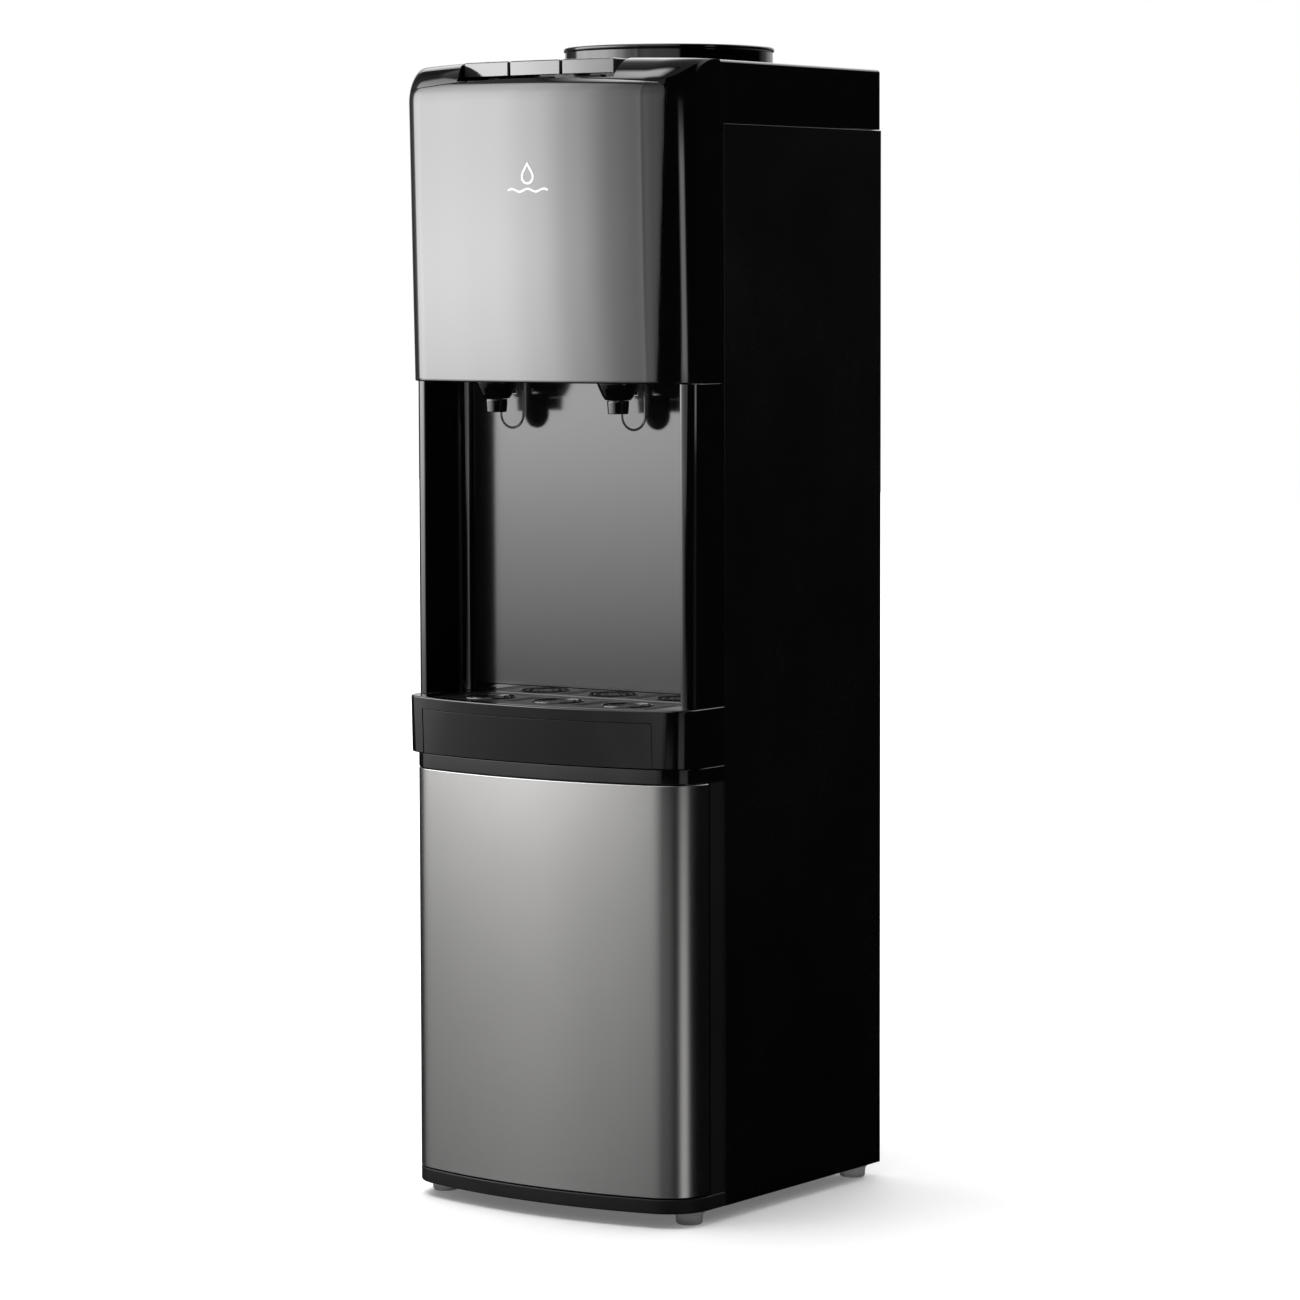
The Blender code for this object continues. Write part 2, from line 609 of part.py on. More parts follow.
def build_door():
    """The door's pieces, whose origins are on the hinge axis."""
    hinge = bpy.data.objects.new("door_hinge", None)
    PARTS.objects.link(hinge)
    hinge.location = (HINGE_X, HINGE_Y, 0.0)
    outline = bow_outline(HALF_WIDTH, FRONT, BOW, CORNER, DOOR_REAR, arc_steps=14, corner_steps=7)
    bm = bmesh.new()
    low = [bm.verts.new((x, y, DOOR_LOW)) for x, y in outline]
    high = [bm.verts.new((x, y, DOOR_HIGH)) for x, y in outline]
    for i in range(len(outline) - 1):
        bm.faces.new((low[i + 1], low[i], high[i], high[i + 1]))
    mesh = bpy.data.meshes.new("door_skin")
    bm.to_mesh(mesh)
    bm.free()
    mesh.shade_smooth()
    mesh.set_sharp_from_angle(angle=math.radians(35))
    skin = add("door_skin", mesh, DOOR_STEEL)
    solidify = skin.modifiers.new("sheet", "SOLIDIFY")
    solidify.thickness = 0.0012
    solidify.offset = -1.0
    solidify.use_even_offset = True

    inset = 0.0016
    inner = bow_outline(HALF_WIDTH - inset, FRONT + inset, BOW - inset * 0.2, CORNER - inset,
                        DOOR_REAR - 0.0003, arc_steps=14, corner_steps=7)
    caps = []
    for name, z in (("door_cap_top", DOOR_HIGH - 0.0034), ("door_cap_bottom", DOOR_LOW + 0.0004)):
        cap = plate(name, inner, z, z + 0.0030, MATTE_BLACK)
        cut(cap, rod(name + "_hole", (HINGE_X, HINGE_Y, z - 0.01), (HINGE_X, HINGE_Y, z + 0.01), PIN_HOLE,
                     cutter=True))
        caps.append(cap)
    back = block("door_inner_panel", (-0.1530, -0.1090, DOOR_LOW + 0.0038), (0.1530, DOOR_REAR - 0.0004,
                                                                            DOOR_HIGH - 0.0038), INNER_WHITE)
    pad = block("door_pad", (-0.1120, -0.1080, 0.0500), (0.1120, -0.1012, 0.3640), cutter=True)
    join(back, pad)
    for piece in (skin, *caps, back):
        piece.parent = hinge
        piece.matrix_parent_inverse = Matrix.Translation((-HINGE_X, -HINGE_Y, 0.0))
    rod("hinge_pin_bottom", (HINGE_X, HINGE_Y, 0.0183), (HINGE_X, HINGE_Y, 0.0360), PIN_RADIUS, TANK_STEEL)
    rod("hinge_pin_top", (HINGE_X, HINGE_Y, 0.3810), (HINGE_X, HINGE_Y, 0.4000), PIN_RADIUS, TANK_STEEL)


def build_bezel():
    outline = bow_outline(HALF_WIDTH, FRONT, BOW, CORNER, -0.0728, rear_half=INNER_HALF)
    bezel = plate("lower_bezel", outline, BEZEL_LOW, BEZEL_HIGH, GLOSS_BLACK)
    cut(bezel, rod("bezel_bore", (HINGE_X, HINGE_Y, 0.38), (HINGE_X, HINGE_Y, 0.4003), PIN_HOLE, cutter=True))


# ---------------------------------------------------------------- drip tray

GRILLE_HALF, GRILLE_FRONT, GRILLE_BOW, GRILLE_REAR = 0.1212, -0.1664, 0.0205, -0.0800
TRAY_HALF = 0.1262


def build_tray_surround():
    rings = []
    for z in (TRAY_LOW, TRAY_BAND, TRAY_HIGH - 0.0012, TRAY_HIGH):
        front, bow = tray_shape(z)
        inset = 0.0010 if z == TRAY_HIGH else 0.0
        outline = bow_outline(HALF_WIDTH - inset, front + inset, bow, TRAY_CORNER, -0.0728,
                              rear_half=INNER_HALF)
        rings.append([(x, y, z) for x, y in outline])
    surround = loft("tray_surround", rings, GLOSS_BLACK)
    reach = BACK_PANEL_HALF - GAP
    riser = block("surround_riser", (-reach, BACK_PANEL_Y, TRAY_HIGH - 0.004),
                  (reach, -0.0728, PANEL_LOW - GAP), cutter=True)
    join(surround, riser)
    drawer = block("drawer_pocket", (-TRAY_HALF - 0.0006, -0.30, 0.38),
                   (TRAY_HALF + 0.0006, -0.0785, TRAY_BAND), cutter=True)
    seat = plate("grille_seat", bow_outline(GRILLE_HALF + 0.0006, GRILLE_FRONT - 0.0006, GRILLE_BOW, 0.008,
                                            GRILLE_REAR + 0.0006), 0.4528, 0.4700, cutter=True)
    drop = plate("grille_drop", bow_outline(GRILLE_HALF - 0.004, GRILLE_FRONT + 0.004, GRILLE_BOW, 0.008,
                                            GRILLE_REAR - 0.004), 0.4300, 0.4600, cutter=True)
    cut(surround, drawer, seat, drop)


def build_drip_tray():
    skin_patch("tray_fascia", lambda z: 0.1260, lambda across: TRAY_BAND - 0.0006, TRAY_LOW + 0.0004, tray_y,
               0.0006, 0.0036, PANEL_BLACK, rows=3)
    basin_front = TRAY_FRONT_LOW + 0.0046
    outline = bow_outline(TRAY_HALF, basin_front, 0.0170, 0.006, -0.0792)
    basin = plate("drip_tray", outline, TRAY_LOW + 0.0002, 0.4440, MATTE_BLACK)
    hollow = bow_outline(TRAY_HALF - 0.0025, basin_front + 0.0025, 0.0165, 0.004, -0.0817)
    cut(basin, plate("basin_hollow", hollow, TRAY_LOW + 0.0027, 0.4600, cutter=True))


def build_grille():
    outline = bow_outline(GRILLE_HALF, GRILLE_FRONT, GRILLE_BOW, 0.0075, GRILLE_REAR)
    grille = plate("drip_grille", outline, 0.4531, 0.4560, GLOSS_BLACK)
    for i in range(11):
        x = -0.1000 + 0.0200 * i
        cut(grille, block(f"grille_slot_{i}", (x - 0.0030, -0.1420, 0.44), (x + 0.0030, -0.0900, 0.47),
                          cutter=True))


# ---------------------------------------------------------------- cup recess, taps and paddles

def post_outline(sign):
    """Plan of one recess wall: round front post, flat bay wall, round rear corner, thin edge at the panel."""
    points = [(INNER_HALF, -0.0728), (INNER_HALF, SEAM), (SKIN_HALF, SEAM)]
    corner_x, corner_y = SKIN_HALF - POST_CORNER, POST_FRONT + POST_CORNER
    last = math.acos((POST_INNER - corner_x) / POST_CORNER)
    for i in range(7):
        angle = last * i / 6
        points.append((corner_x + POST_CORNER * math.cos(angle), corner_y - POST_CORNER * math.sin(angle)))
    points.append((POST_INNER - 0.0006, POST_FRONT + 0.0012))
    fillet_x, fillet_y = BAY_HALF - BAY_FILLET, BACK_PANEL_Y - BAY_FILLET
    for i in range(6):
        angle = math.pi / 2 * i / 5
        points.append((fillet_x + BAY_FILLET * math.cos(angle), fillet_y + BAY_FILLET * math.sin(angle)))
    points += [(BACK_PANEL_HALF + GAP, BACK_PANEL_Y), (BACK_PANEL_HALF + GAP, -0.0728)]
    return [(sign * x, y) for x, y in points]


def build_recess():
    for side, sign in (("left", -1), ("right", 1)):
        plate(f"recess_wall_{side}", post_outline(sign), TRAY_HIGH + GAP, HEAD_LOW - GAP, GLOSS_BLACK)
    block("recess_back_panel", (-BACK_PANEL_HALF, BACK_PANEL_Y, PANEL_LOW),
          (BACK_PANEL_HALF, -0.0728, 0.7412), MIRROR_BLACK)
    inset = 0.0036
    outline = bow_outline(SKIN_HALF - inset, FRONT - LEAN_LOW + inset, BOW, HEAD_CORNER - inset, -0.0728)
    ceiling = plate("recess_ceiling", outline, 0.7416, 0.7446, MATTE_BLACK)
    for sign in (-1, 1):
        cut(ceiling, rod(f"ceiling_hole_{sign}", (sign * TAP_X, TAP_Y, 0.73), (sign * TAP_X, TAP_Y, 0.75),
                         0.0130, cutter=True))


def build_tap(side, sign):
    x = sign * TAP_X
    body = turned(f"tap_body_{side}", [(0.0, 0.7760), (0.0110, 0.7760), (0.0124, 0.7740), (0.0124, 0.7412),
                                       (0.0178, 0.7412), (0.0178, 0.7385), (0.0165, 0.7340), (0.0135, 0.7275),
                                       (0.0112, 0.7243), (0.0, 0.7243)],
                  (x, TAP_Y, 0.0), GLOSS_BLACK, steps=20)
    inlet = rod(f"tap_inlet_{side}", (x, TAP_Y, 0.7610), (x, -0.0860, 0.7610), 0.0042, cutter=True, sides=16)
    arm = block(f"tap_arm_{side}", (x - 0.0040, -0.1080, 0.7285),
                (x + 0.0040, PADDLE_AXIS[0] + 0.0035, 0.7382), cutter=True)
    join(body, inlet, arm)
    cut(body, rod(f"tap_pivot_{side}", (x - 0.02, *PADDLE_AXIS), (x + 0.02, *PADDLE_AXIS), 0.0020,
                  cutter=True, sides=20))
    turned(f"tap_nozzle_{side}", [(0.0036, 0.7240), (0.0096, 0.7240), (0.0098, 0.7228), (0.0091, 0.7126),
                                  (0.0087, 0.7122), (0.0062, 0.7122), (0.0062, 0.7180), (0.0036, 0.7190)],
           (x, TAP_Y, 0.0), GLOSS_BLACK, steps=20, closed=True)


def build_paddle(side, sign):
    """A round-ended tongue that hangs from a pin through the tap's arm. Its origin is on the pin."""
    x = sign * TAP_X
    half, top, low = 0.0134, 0.0040, -0.0385
    outline = [(half, top), (-half, top)]
    end = low + half
    for i in range(11):
        angle = math.pi + math.pi * i / 10
        outline.append((half * math.cos(angle), end + half * math.sin(angle)))
    upright = Matrix(((1, 0, 0, 0), (0, 0, 1, 0), (0, 1, 0, 0), (0, 0, 0, 1)))  # outline in x and z
    name = f"paddle_{side}"
    paddle = plate(name, outline, 0.0018, 0.0044, GLOSS_BLACK, matrix=upright)
    paddle.location = (x, *PADDLE_AXIS)
    slot = block(name + "_slot", (x - 0.0048, -0.110, 0.7277), (x + 0.0048, -0.085, 0.7500), cutter=True)
    cut(paddle, slot)
    for edge in (-1, 1):
        near, far = 0.0052, 0.0128
        low_x, high_x = sorted((x + edge * near, x + edge * far))
        y, z = PADDLE_AXIS
        join(paddle, block(f"{name}_ear_{edge}", (low_x, y - 0.0022, z - 0.0034),
                           (high_x, y + 0.0030, z + 0.0034), cutter=True))
    pin = rod(f"{name}_pin", (x - 0.0070, *PADDLE_AXIS), (x + 0.0070, *PADDLE_AXIS), 0.0016, cutter=True,
              sides=16)
    join(paddle, pin)


# ---------------------------------------------------------------- head

def head_ring(z, inset, rear):
    outline = bow_outline(SKIN_HALF - inset, FRONT - lean(z) + inset, BOW, head_corner(z) - inset, rear)
    return [(x, y, z) for x, y in outline]


def head_levels(low, high):
    fillet = HEAD_HIGH - TOP_FILLET
    curve = [fillet + TOP_FILLET * math.sin(math.pi / 2 * i / 6) for i in range(6)]
    return [low, (low + fillet) / 2] + [z for z in curve if z < high - 0.0005] + [high]


def key_notch(name, wall):
    """The keys' notch, grown by a wall on all sides: it opens upwards and to the front."""
    left, right, rear = NOTCH_LEFT - wall, NOTCH_RIGHT + wall, NOTCH_REAR + wall
    mouth = NOTCH_LEFT_FRONT - wall
    outline = [(left, rear), (left, -0.1435), (mouth, -0.1600), (mouth, -0.25), (right, -0.25), (right, rear)]
    return plate(name, outline, NOTCH_FLOOR - wall, HEAD_HIGH + 0.02, cutter=True)


def panel_half(z):
    return 0.1310 + (z - HEAD_LOW) * 0.0345


def panel_top(across):
    return 1.0050 - 0.0060 * across * across


def build_head():
    wall = 0.0030
    step = SIDE_HIGH + 0.0002
    lower = [head_ring(z, 0.0, SEAM) for z in (HEAD_LOW, (HEAD_LOW + step) / 2, step)]
    upper = [head_ring(z, 0.0, HEAD_SEAM) for z in head_levels(step + 0.0002, HEAD_HIGH)]
    cover = loft("head_front_cover", lower + upper, GLOSS_BLACK)
    inner_levels = [HEAD_LOW - 0.01] + head_levels(HEAD_LOW + 0.01, HEAD_HIGH - wall)
    hollow = loft("head_hollow", [head_ring(z, wall, HEAD_SEAM + 0.02) for z in inner_levels], cutter=True)
    pocket = skin_patch("panel_pocket", lambda z: panel_half(z) + 0.0007,
                        lambda across: panel_top(across) + 0.0007, HEAD_LOW + 0.0017, head_y, -0.02, 0.0019,
                        cutter=True)
    cut(hollow, key_notch("notch_tub", wall))
    cut(cover, hollow, key_notch("key_notch", 0.0), pocket)
    for i, x in enumerate(KEY_MIDDLES):
        cut(cover, block(f"switch_window_{i}", (x - 0.007, -0.134, 0.99), (x + 0.007, -0.124, 1.012),
                         cutter=True))
    skin_patch("head_front_panel", panel_half, panel_top, HEAD_LOW + 0.0024, head_y, 0.0, 0.0016, PANEL_BLACK)


KEY_MIDDLES = (-0.05565, 0.0, 0.05565)
KEY_WIDTHS = (0.0521, 0.0544, 0.0521)


def build_keys():
    """Three keys on one shaft. Each key's origin is on the shaft's axis."""
    y, z = KEY_AXIS
    radius = (KEYS_HALF ** 2 + KEY_BOW ** 2) / (2 * KEY_BOW)
    rear = NOTCH_REAR - 0.0010 - y
    for name, middle, width in zip(("key_hot", "key_room", "key_cold"), KEY_MIDDLES, KEY_WIDTHS):
        outline = [(width / 2, rear), (-width / 2, rear)]
        for i in range(7):
            x = middle - width / 2 + width * i / 6
            front = KEY_FRONT + radius - math.sqrt(radius * radius - x * x)
            outline.append((x - middle, front - y))
        key = plate(name, outline, KEY_LOW - z, KEY_HIGH - z, KEY_GREY)
        key.location = (middle, y, z)
        half = width / 2 - 0.0020
        hollow = block(name + "_hollow", (middle - half, -0.1390, 1.000), (middle + half, -0.1140, 1.0190),
                       cutter=True)
        bore = rod(name + "_bore", (middle - 0.04, y, z), (middle + 0.04, y, z), 0.0021, cutter=True,
                   sides=20)
        plunger = block(name + "_plunger", (middle - 0.003, -0.1315, 1.0118),
                        (middle + 0.003, -0.1265, 1.0200), cutter=True)
        cut(key, hollow, bore)
        join(key, plunger)
    rod("key_shaft", (NOTCH_LEFT + GAP, y, z), (NOTCH_RIGHT - GAP, y, z), 0.0018, TANK_STEEL, sides=16)
    board = block("key_switch_board", (-0.0780, -0.1420, 0.9990), (0.0780, -0.1120, 1.0006), BOARD_GREEN)
    for i, x in enumerate(KEY_MIDDLES):
        join(board, block(f"micro_switch_{i}", (x - 0.006, -0.1330, 1.0000), (x + 0.006, -0.1250, 1.0078),
                          cutter=True))


def build_top_cover():
    low, high, wall = SIDE_HIGH + 0.0007, HEAD_HIGH, 0.0025
    cover = block("top_cover", (-SKIN_HALF, HEAD_SEAM + 0.0008, low), (SKIN_HALF, REAR - 0.0004, high),
                  GLOSS_BLACK, bevel=0.0025)
    hollow = block("cover_hollow", (-SKIN_HALF + wall, HEAD_SEAM - 0.02, low - 0.02),
                   (SKIN_HALF - wall, REAR - 0.0004 - wall, high - wall), cutter=True)
    hole = rod("collar_hole", (0.0, COLLAR_Y, 0.99), (0.0, COLLAR_Y, 1.05), 0.0886, cutter=True, sides=48)
    cut(cover, hollow, hole)


def build_collar():
    centre = (0.0, COLLAR_Y, 0.0)
    seat = HEAD_HIGH + 0.0004
    turned("bottle_collar", [(0.0905, COLLAR_HIGH), (0.0945, COLLAR_HIGH), (0.0958, COLLAR_HIGH - 0.0008),
                             (COLLAR_RADIUS, COLLAR_HIGH - 0.0022), (0.0956, COLLAR_HIGH - 0.0036),
                             (0.0947, COLLAR_HIGH - 0.0042), (0.0947, seat), (0.0870, seat), (0.0870, 1.0050),
                             (0.0420, 0.9880), (0.0400, 0.9700), (0.0370, 0.9700), (0.0370, 0.9890),
                             (0.0840, 1.0072), (0.0885, 1.0300)],
           centre, GLOSS_BLACK, steps=40, closed=True)
    turned("bottle_probe", [(0.0, 1.0040), (0.0045, 1.0010), (0.0080, 0.9930), (0.0100, 0.9750),
                            (0.0385, 0.9697), (0.0385, 0.9668), (0.0100, 0.9660), (0.0095, 0.9400),
                            (0.0, 0.9400)],
           centre, INNER_WHITE, steps=20)


build_base()
build_feet()
build_side_panels()
build_rear()
build_rear_fittings()
build_cooling()
build_tanks()
build_tubes()
build_cabinet()
build_door()
build_bezel()
build_tray_surround()
build_drip_tray()
build_grille()
build_recess()
for tap_side, tap_sign in (("left", -1), ("right", 1)):
    build_tap(tap_side, tap_sign)
    build_paddle(tap_side, tap_sign)
build_head()
build_keys()
build_top_cover()
build_collar()
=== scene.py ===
import math

import bmesh
import bpy
from mathutils import Matrix, Vector


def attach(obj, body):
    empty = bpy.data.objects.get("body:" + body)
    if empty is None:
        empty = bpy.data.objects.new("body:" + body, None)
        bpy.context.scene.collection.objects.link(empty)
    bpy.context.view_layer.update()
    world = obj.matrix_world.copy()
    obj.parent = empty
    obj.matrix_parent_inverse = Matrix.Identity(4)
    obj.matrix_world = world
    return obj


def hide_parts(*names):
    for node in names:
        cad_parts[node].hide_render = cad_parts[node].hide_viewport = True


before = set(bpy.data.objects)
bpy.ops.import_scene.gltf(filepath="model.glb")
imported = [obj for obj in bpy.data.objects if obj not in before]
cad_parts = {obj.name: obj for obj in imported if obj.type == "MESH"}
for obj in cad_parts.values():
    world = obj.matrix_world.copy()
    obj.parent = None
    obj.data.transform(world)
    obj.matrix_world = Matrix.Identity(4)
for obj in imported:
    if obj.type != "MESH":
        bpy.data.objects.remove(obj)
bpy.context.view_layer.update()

# ---------------------------------------------------------------- sizes, in metres, +Z up, -Y to the front

HALF_WIDTH, SKIN_HALF, INNER_HALF = 0.155, 0.1545, 0.1530
REAR = 0.1745
BASE_LOW, BASE_HIGH, BASE_REAR = 0.0127, 0.0258, 0.1728
DOOR_LOW, DOOR_HIGH = 0.0268, 0.3904
BEZEL_LOW, BEZEL_HIGH = 0.3914, 0.4046
TRAY_LOW, TRAY_BAND, TRAY_HIGH = 0.4052, 0.4457, 0.4566
PANEL_LOW = 0.4640
HEAD_LOW, HEAD_HIGH = 0.7397, 1.0225
SIDE_HIGH = 0.9648
COLLAR_HIGH = 1.0394
FRONT, BOW, CORNER = -0.1622, 0.0248, 0.0425
DOOR_REAR, SIDE_FRONT, SEAM, WALL_REAR = -0.1048, -0.0799, -0.0805, -0.0728
HEAD_CORNER, HEAD_SEAM = 0.0465, -0.0845
LEAN_LOW, LEAN_HIGH, TOP_FILLET = 0.0040, 0.0105, 0.035
PANEL_ROLL, PANEL_ROLL_DEPTH, CROWN, HEAD_EDGE = 0.0055, 0.0010, 0.0026, 0.0012
PANEL_CUT_DEPTH = (-0.25, -0.08)   # in y, past the head's front and back
NOTCH_FLOOR, NOTCH_LEFT, NOTCH_RIGHT, NOTCH_MOUTH, NOTCH_REAR = 1.0045, -0.0835, 0.0940, -0.0745, -0.1025
KEYS_HALF = 0.0835
KEY_FRONT, KEY_BOW, KEY_LOW, KEY_HIGH = -0.1474, 0.0060, 1.0085, 1.0215
KEY_MIDDLES, KEY_WIDTHS = (-0.05565, 0.0, 0.05565), (0.0521, 0.0544, 0.0521)
BACK_PANEL_Y, BACK_PANEL_HALF = -0.0750, 0.1240
POST_FRONT, POST_CORNER, POST_INNER, BAY_HALF, BAY_FILLET = -0.1272, 0.0138, 0.1422, 0.1385, 0.0100
TAP_X, TAP_Y = 0.067, -0.1165
PADDLE_AXIS = (-0.0960, 0.7350)
COLLAR_Y, COLLAR_RADIUS = 0.057, 0.0960
TRAY_FRONT_LOW, TRAY_FRONT_HIGH = -0.1669, -0.1744
TRAY_BOW_LOW, TRAY_BOW_HIGH, TRAY_CORNER, TRAY_HALF_IN = 0.0256, 0.0340, 0.030, 0.1262
GRILLE_HALF, GRILLE_FRONT, GRILLE_BOW, GRILLE_REAR = 0.1212, -0.1664, 0.0205, -0.0800
ROSETTES, ROSETTE_Y, SLOT_HALF = (-0.0760, 0.0, 0.0760), -0.1165, 0.0013
GRILLE_CUT = (0.44, 0.47)   # in z, past both faces of the plate
REAR_SHEET, SHEET = 0.1500, 0.0012
COIL_X, COIL_LOW, COIL_PITCH, COIL_PASSES, COIL_Y = 0.112, 0.400, 0.052, 9, 0.1610


# ---------------------------------------------------------------- materials

LOWEST_ROUGHNESS = 0.01


def put(node, values):
    """Set a node's sockets by name."""
    for name, value in values.items():
        node.inputs[name].default_value = value
    return node


def math_node(nodes, links, operation, *values):
    made = nodes.new("ShaderNodeMath")
    made.operation = operation
    for socket, value in zip(made.inputs, values):
        if isinstance(value, float):
            socket.default_value = value
        else:
            links.new(value, socket)
    return made.outputs[0]


def look(name, color, rough, metallic=0.0, grain=900.0, bump=0.1, depth=0.00004, spread=0.03, smudge=7.0,
         stretch=(1.0, 1.0, 1.0), coat=0.0, specular=0.5, tint=0.0, through=0.0):
    """A finish with a fine bump, slow changes of gloss and, where tint is set, of colour."""
    made = bpy.data.materials.new(name)
    made.use_nodes = True
    nodes, links = made.node_tree.nodes, made.node_tree.links
    shader = nodes["Principled BSDF"]
    put(shader, {"Base Color": (*color, 1.0), "Metallic": metallic, "Specular IOR Level": specular,
                 "Coat Weight": coat, "Coat Roughness": 0.04, "Transmission Weight": through})
    place = nodes.new("ShaderNodeTexCoord").outputs["Object"]
    mapping = put(nodes.new("ShaderNodeMapping"), {"Scale": stretch})
    links.new(place, mapping.inputs["Vector"])
    fine = put(nodes.new("ShaderNodeTexNoise"), {"Scale": grain, "Detail": 3.0})
    links.new(mapping.outputs["Vector"], fine.inputs["Vector"])
    height = put(nodes.new("ShaderNodeBump"), {"Strength": bump, "Distance": depth})
    links.new(fine.outputs["Fac"], height.inputs["Height"])
    links.new(height.outputs["Normal"], shader.inputs["Normal"])
    slow = put(nodes.new("ShaderNodeTexNoise"), {"Scale": smudge, "Detail": 5.0})
    links.new(place, slow.inputs["Vector"])
    both = math_node(nodes, links, "MULTIPLY_ADD", fine.outputs["Fac"], 0.35, slow.outputs["Fac"])
    smooth, dull = max(rough - spread, LOWEST_ROUGHNESS), rough + spread
    gloss = put(nodes.new("ShaderNodeMapRange"),
                {"From Min": 0.42, "From Max": 0.92, "To Min": smooth, "To Max": dull})
    links.new(both, gloss.inputs["Value"])
    links.new(gloss.outputs["Result"], shader.inputs["Roughness"])
    if tint:
        share = put(nodes.new("ShaderNodeMapRange"), {"From Min": smooth, "From Max": dull})
        links.new(gloss.outputs["Result"], share.inputs["Value"])
        shade = nodes.new("ShaderNodeMix")
        shade.data_type = "RGBA"
        shade.inputs[6].default_value = (*[c * (1 - tint) for c in color], 1.0)
        shade.inputs[7].default_value = (*[min(c * (1 + tint), 1.0) for c in color], 1.0)
        links.new(share.outputs["Result"], shade.inputs[0])
        links.new(shade.outputs[2], shader.inputs["Base Color"])
    return made


GLOSS = look("gloss_black_look", (0.0014, 0.0014, 0.0016), 0.07, grain=260.0, bump=0.05, spread=0.03)
PANEL = look("panel_black_look", (0.002, 0.002, 0.0022), 0.11, grain=420.0, bump=0.04, spread=0.025,
             specular=0.8)
MIRROR = look("mirror_black_look", (0.003, 0.003, 0.0033), 0.13, grain=300.0, bump=0.03, spread=0.02,
              specular=0.50)
FASCIA = look("fascia_black_look", (0.002, 0.002, 0.0022), 0.13, grain=420.0, bump=0.05, spread=0.03)
MATTE = look("matte_black_look", (0.004, 0.004, 0.0044), 0.45, grain=1500.0, bump=0.25, depth=0.0001,
             spread=0.08, specular=0.2)
PAINT = look("powder_black_look", (0.0012, 0.0012, 0.0014), 0.25, grain=1900.0, bump=0.18, depth=0.00008,
             spread=0.05, specular=0.4)
KEY = look("key_look", (0.030, 0.030, 0.031), 0.12, grain=500.0, bump=0.06, spread=0.04, specular=0.9)
STEEL = look("door_steel_look", (0.40, 0.395, 0.39), 0.25, metallic=1.0, grain=60.0, bump=0.05, depth=0.00001,
             spread=0.02, smudge=3.0, stretch=(0.2, 0.2, 60.0), tint=0.03)
TANK = look("plain_steel_look", (0.60, 0.60, 0.61), 0.26, metallic=1.0, grain=160.0, bump=0.08, spread=0.08,
            stretch=(1.0, 1.0, 12.0), tint=0.05)
COPPER = look("copper_look", (0.72, 0.36, 0.22), 0.28, metallic=1.0, bump=0.1, spread=0.10, smudge=30.0,
              tint=0.15)
FOAM = look("foam_look", (0.74, 0.70, 0.60), 0.85, grain=350.0, bump=0.6, depth=0.0008, spread=0.08,
            tint=0.10)
SILICONE = look("silicone_look", (0.70, 0.70, 0.67), 0.38, bump=0.08, spread=0.06, tint=0.04)
FOOT = look("foot_look", (0.36, 0.36, 0.37), 0.30, bump=0.12, spread=0.08, through=0.45, tint=0.05)
WHITE = look("liner_white_look", (0.66, 0.66, 0.65), 0.38, grain=1100.0, bump=0.12, spread=0.06, tint=0.03)
RED = look("rocker_red_look", (0.50, 0.02, 0.015), 0.25, bump=0.06, spread=0.05, tint=0.05)
GREEN = look("rocker_green_look", (0.02, 0.30, 0.07), 0.25, bump=0.06, spread=0.05, tint=0.05)
PADDLE = look("paddle_look", (0.030, 0.030, 0.032), 0.16, grain=500.0, bump=0.05, spread=0.04, specular=0.45)
GRID = look("grille_look", (0.004, 0.004, 0.0044), 0.34, grain=1100.0, bump=0.12, spread=0.06, specular=0.25)
PRINT = look("print_white_look", (0.85, 0.85, 0.86), 0.35, grain=1200.0, bump=0.08, spread=0.05)
MARK_RED = look("mark_red_look", (0.55, 0.02, 0.02), 0.30, bump=0.05, spread=0.04)
MARK_BLUE = look("mark_blue_look", (0.02, 0.10, 0.50), 0.30, bump=0.05, spread=0.04)
WIRE = look("wire_black_look", (0.010, 0.010, 0.011), 0.30, bump=0.12, spread=0.08)
SCREW = look("screw_look", (0.42, 0.42, 0.43), 0.30, metallic=1.0, bump=0.10, spread=0.08, smudge=200.0,
             tint=0.08)
LABEL = look("label_look", (0.55, 0.55, 0.54), 0.42, grain=1400.0, bump=0.06, spread=0.05, tint=0.03)


# ---------------------------------------------------------------- modelling helpers

def mesh_object(name, bm, finish, body=None, node=None, bevel=0.0, segments=3, angle=40.0,
                weighted=True):
    """Put a bmesh into the scene, smooth it and let it ride on its body."""
    bmesh.ops.recalc_face_normals(bm, faces=bm.faces)
    mesh = bpy.data.meshes.new(name)
    bm.to_mesh(mesh)
    bm.free()
    mesh.shade_smooth()
    mesh.set_sharp_from_angle(angle=math.radians(45))
    obj = bpy.data.objects.new(name, mesh)
    bpy.context.scene.collection.objects.link(obj)
    if finish is not None:
        mesh.materials.append(finish)
    if bevel:
        soften(obj, bevel, segments, angle)
    if weighted and body:
        obj.modifiers.new("shading", "WEIGHTED_NORMAL").keep_sharp = True
    if body:
        settle(obj, body, node)
    return obj


def settle(obj, body, node=None):
    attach(obj, body)
    if node:
        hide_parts(*([node] if isinstance(node, str) else node))
    return obj


def soften(obj, width, segments=3, angle=40.0):
    bevel = obj.modifiers.new("round", "BEVEL")
    bevel.width = width
    bevel.segments = segments
    bevel.limit_method = "ANGLE"
    bevel.angle_limit = math.radians(angle)
    bevel.use_clamp_overlap = True


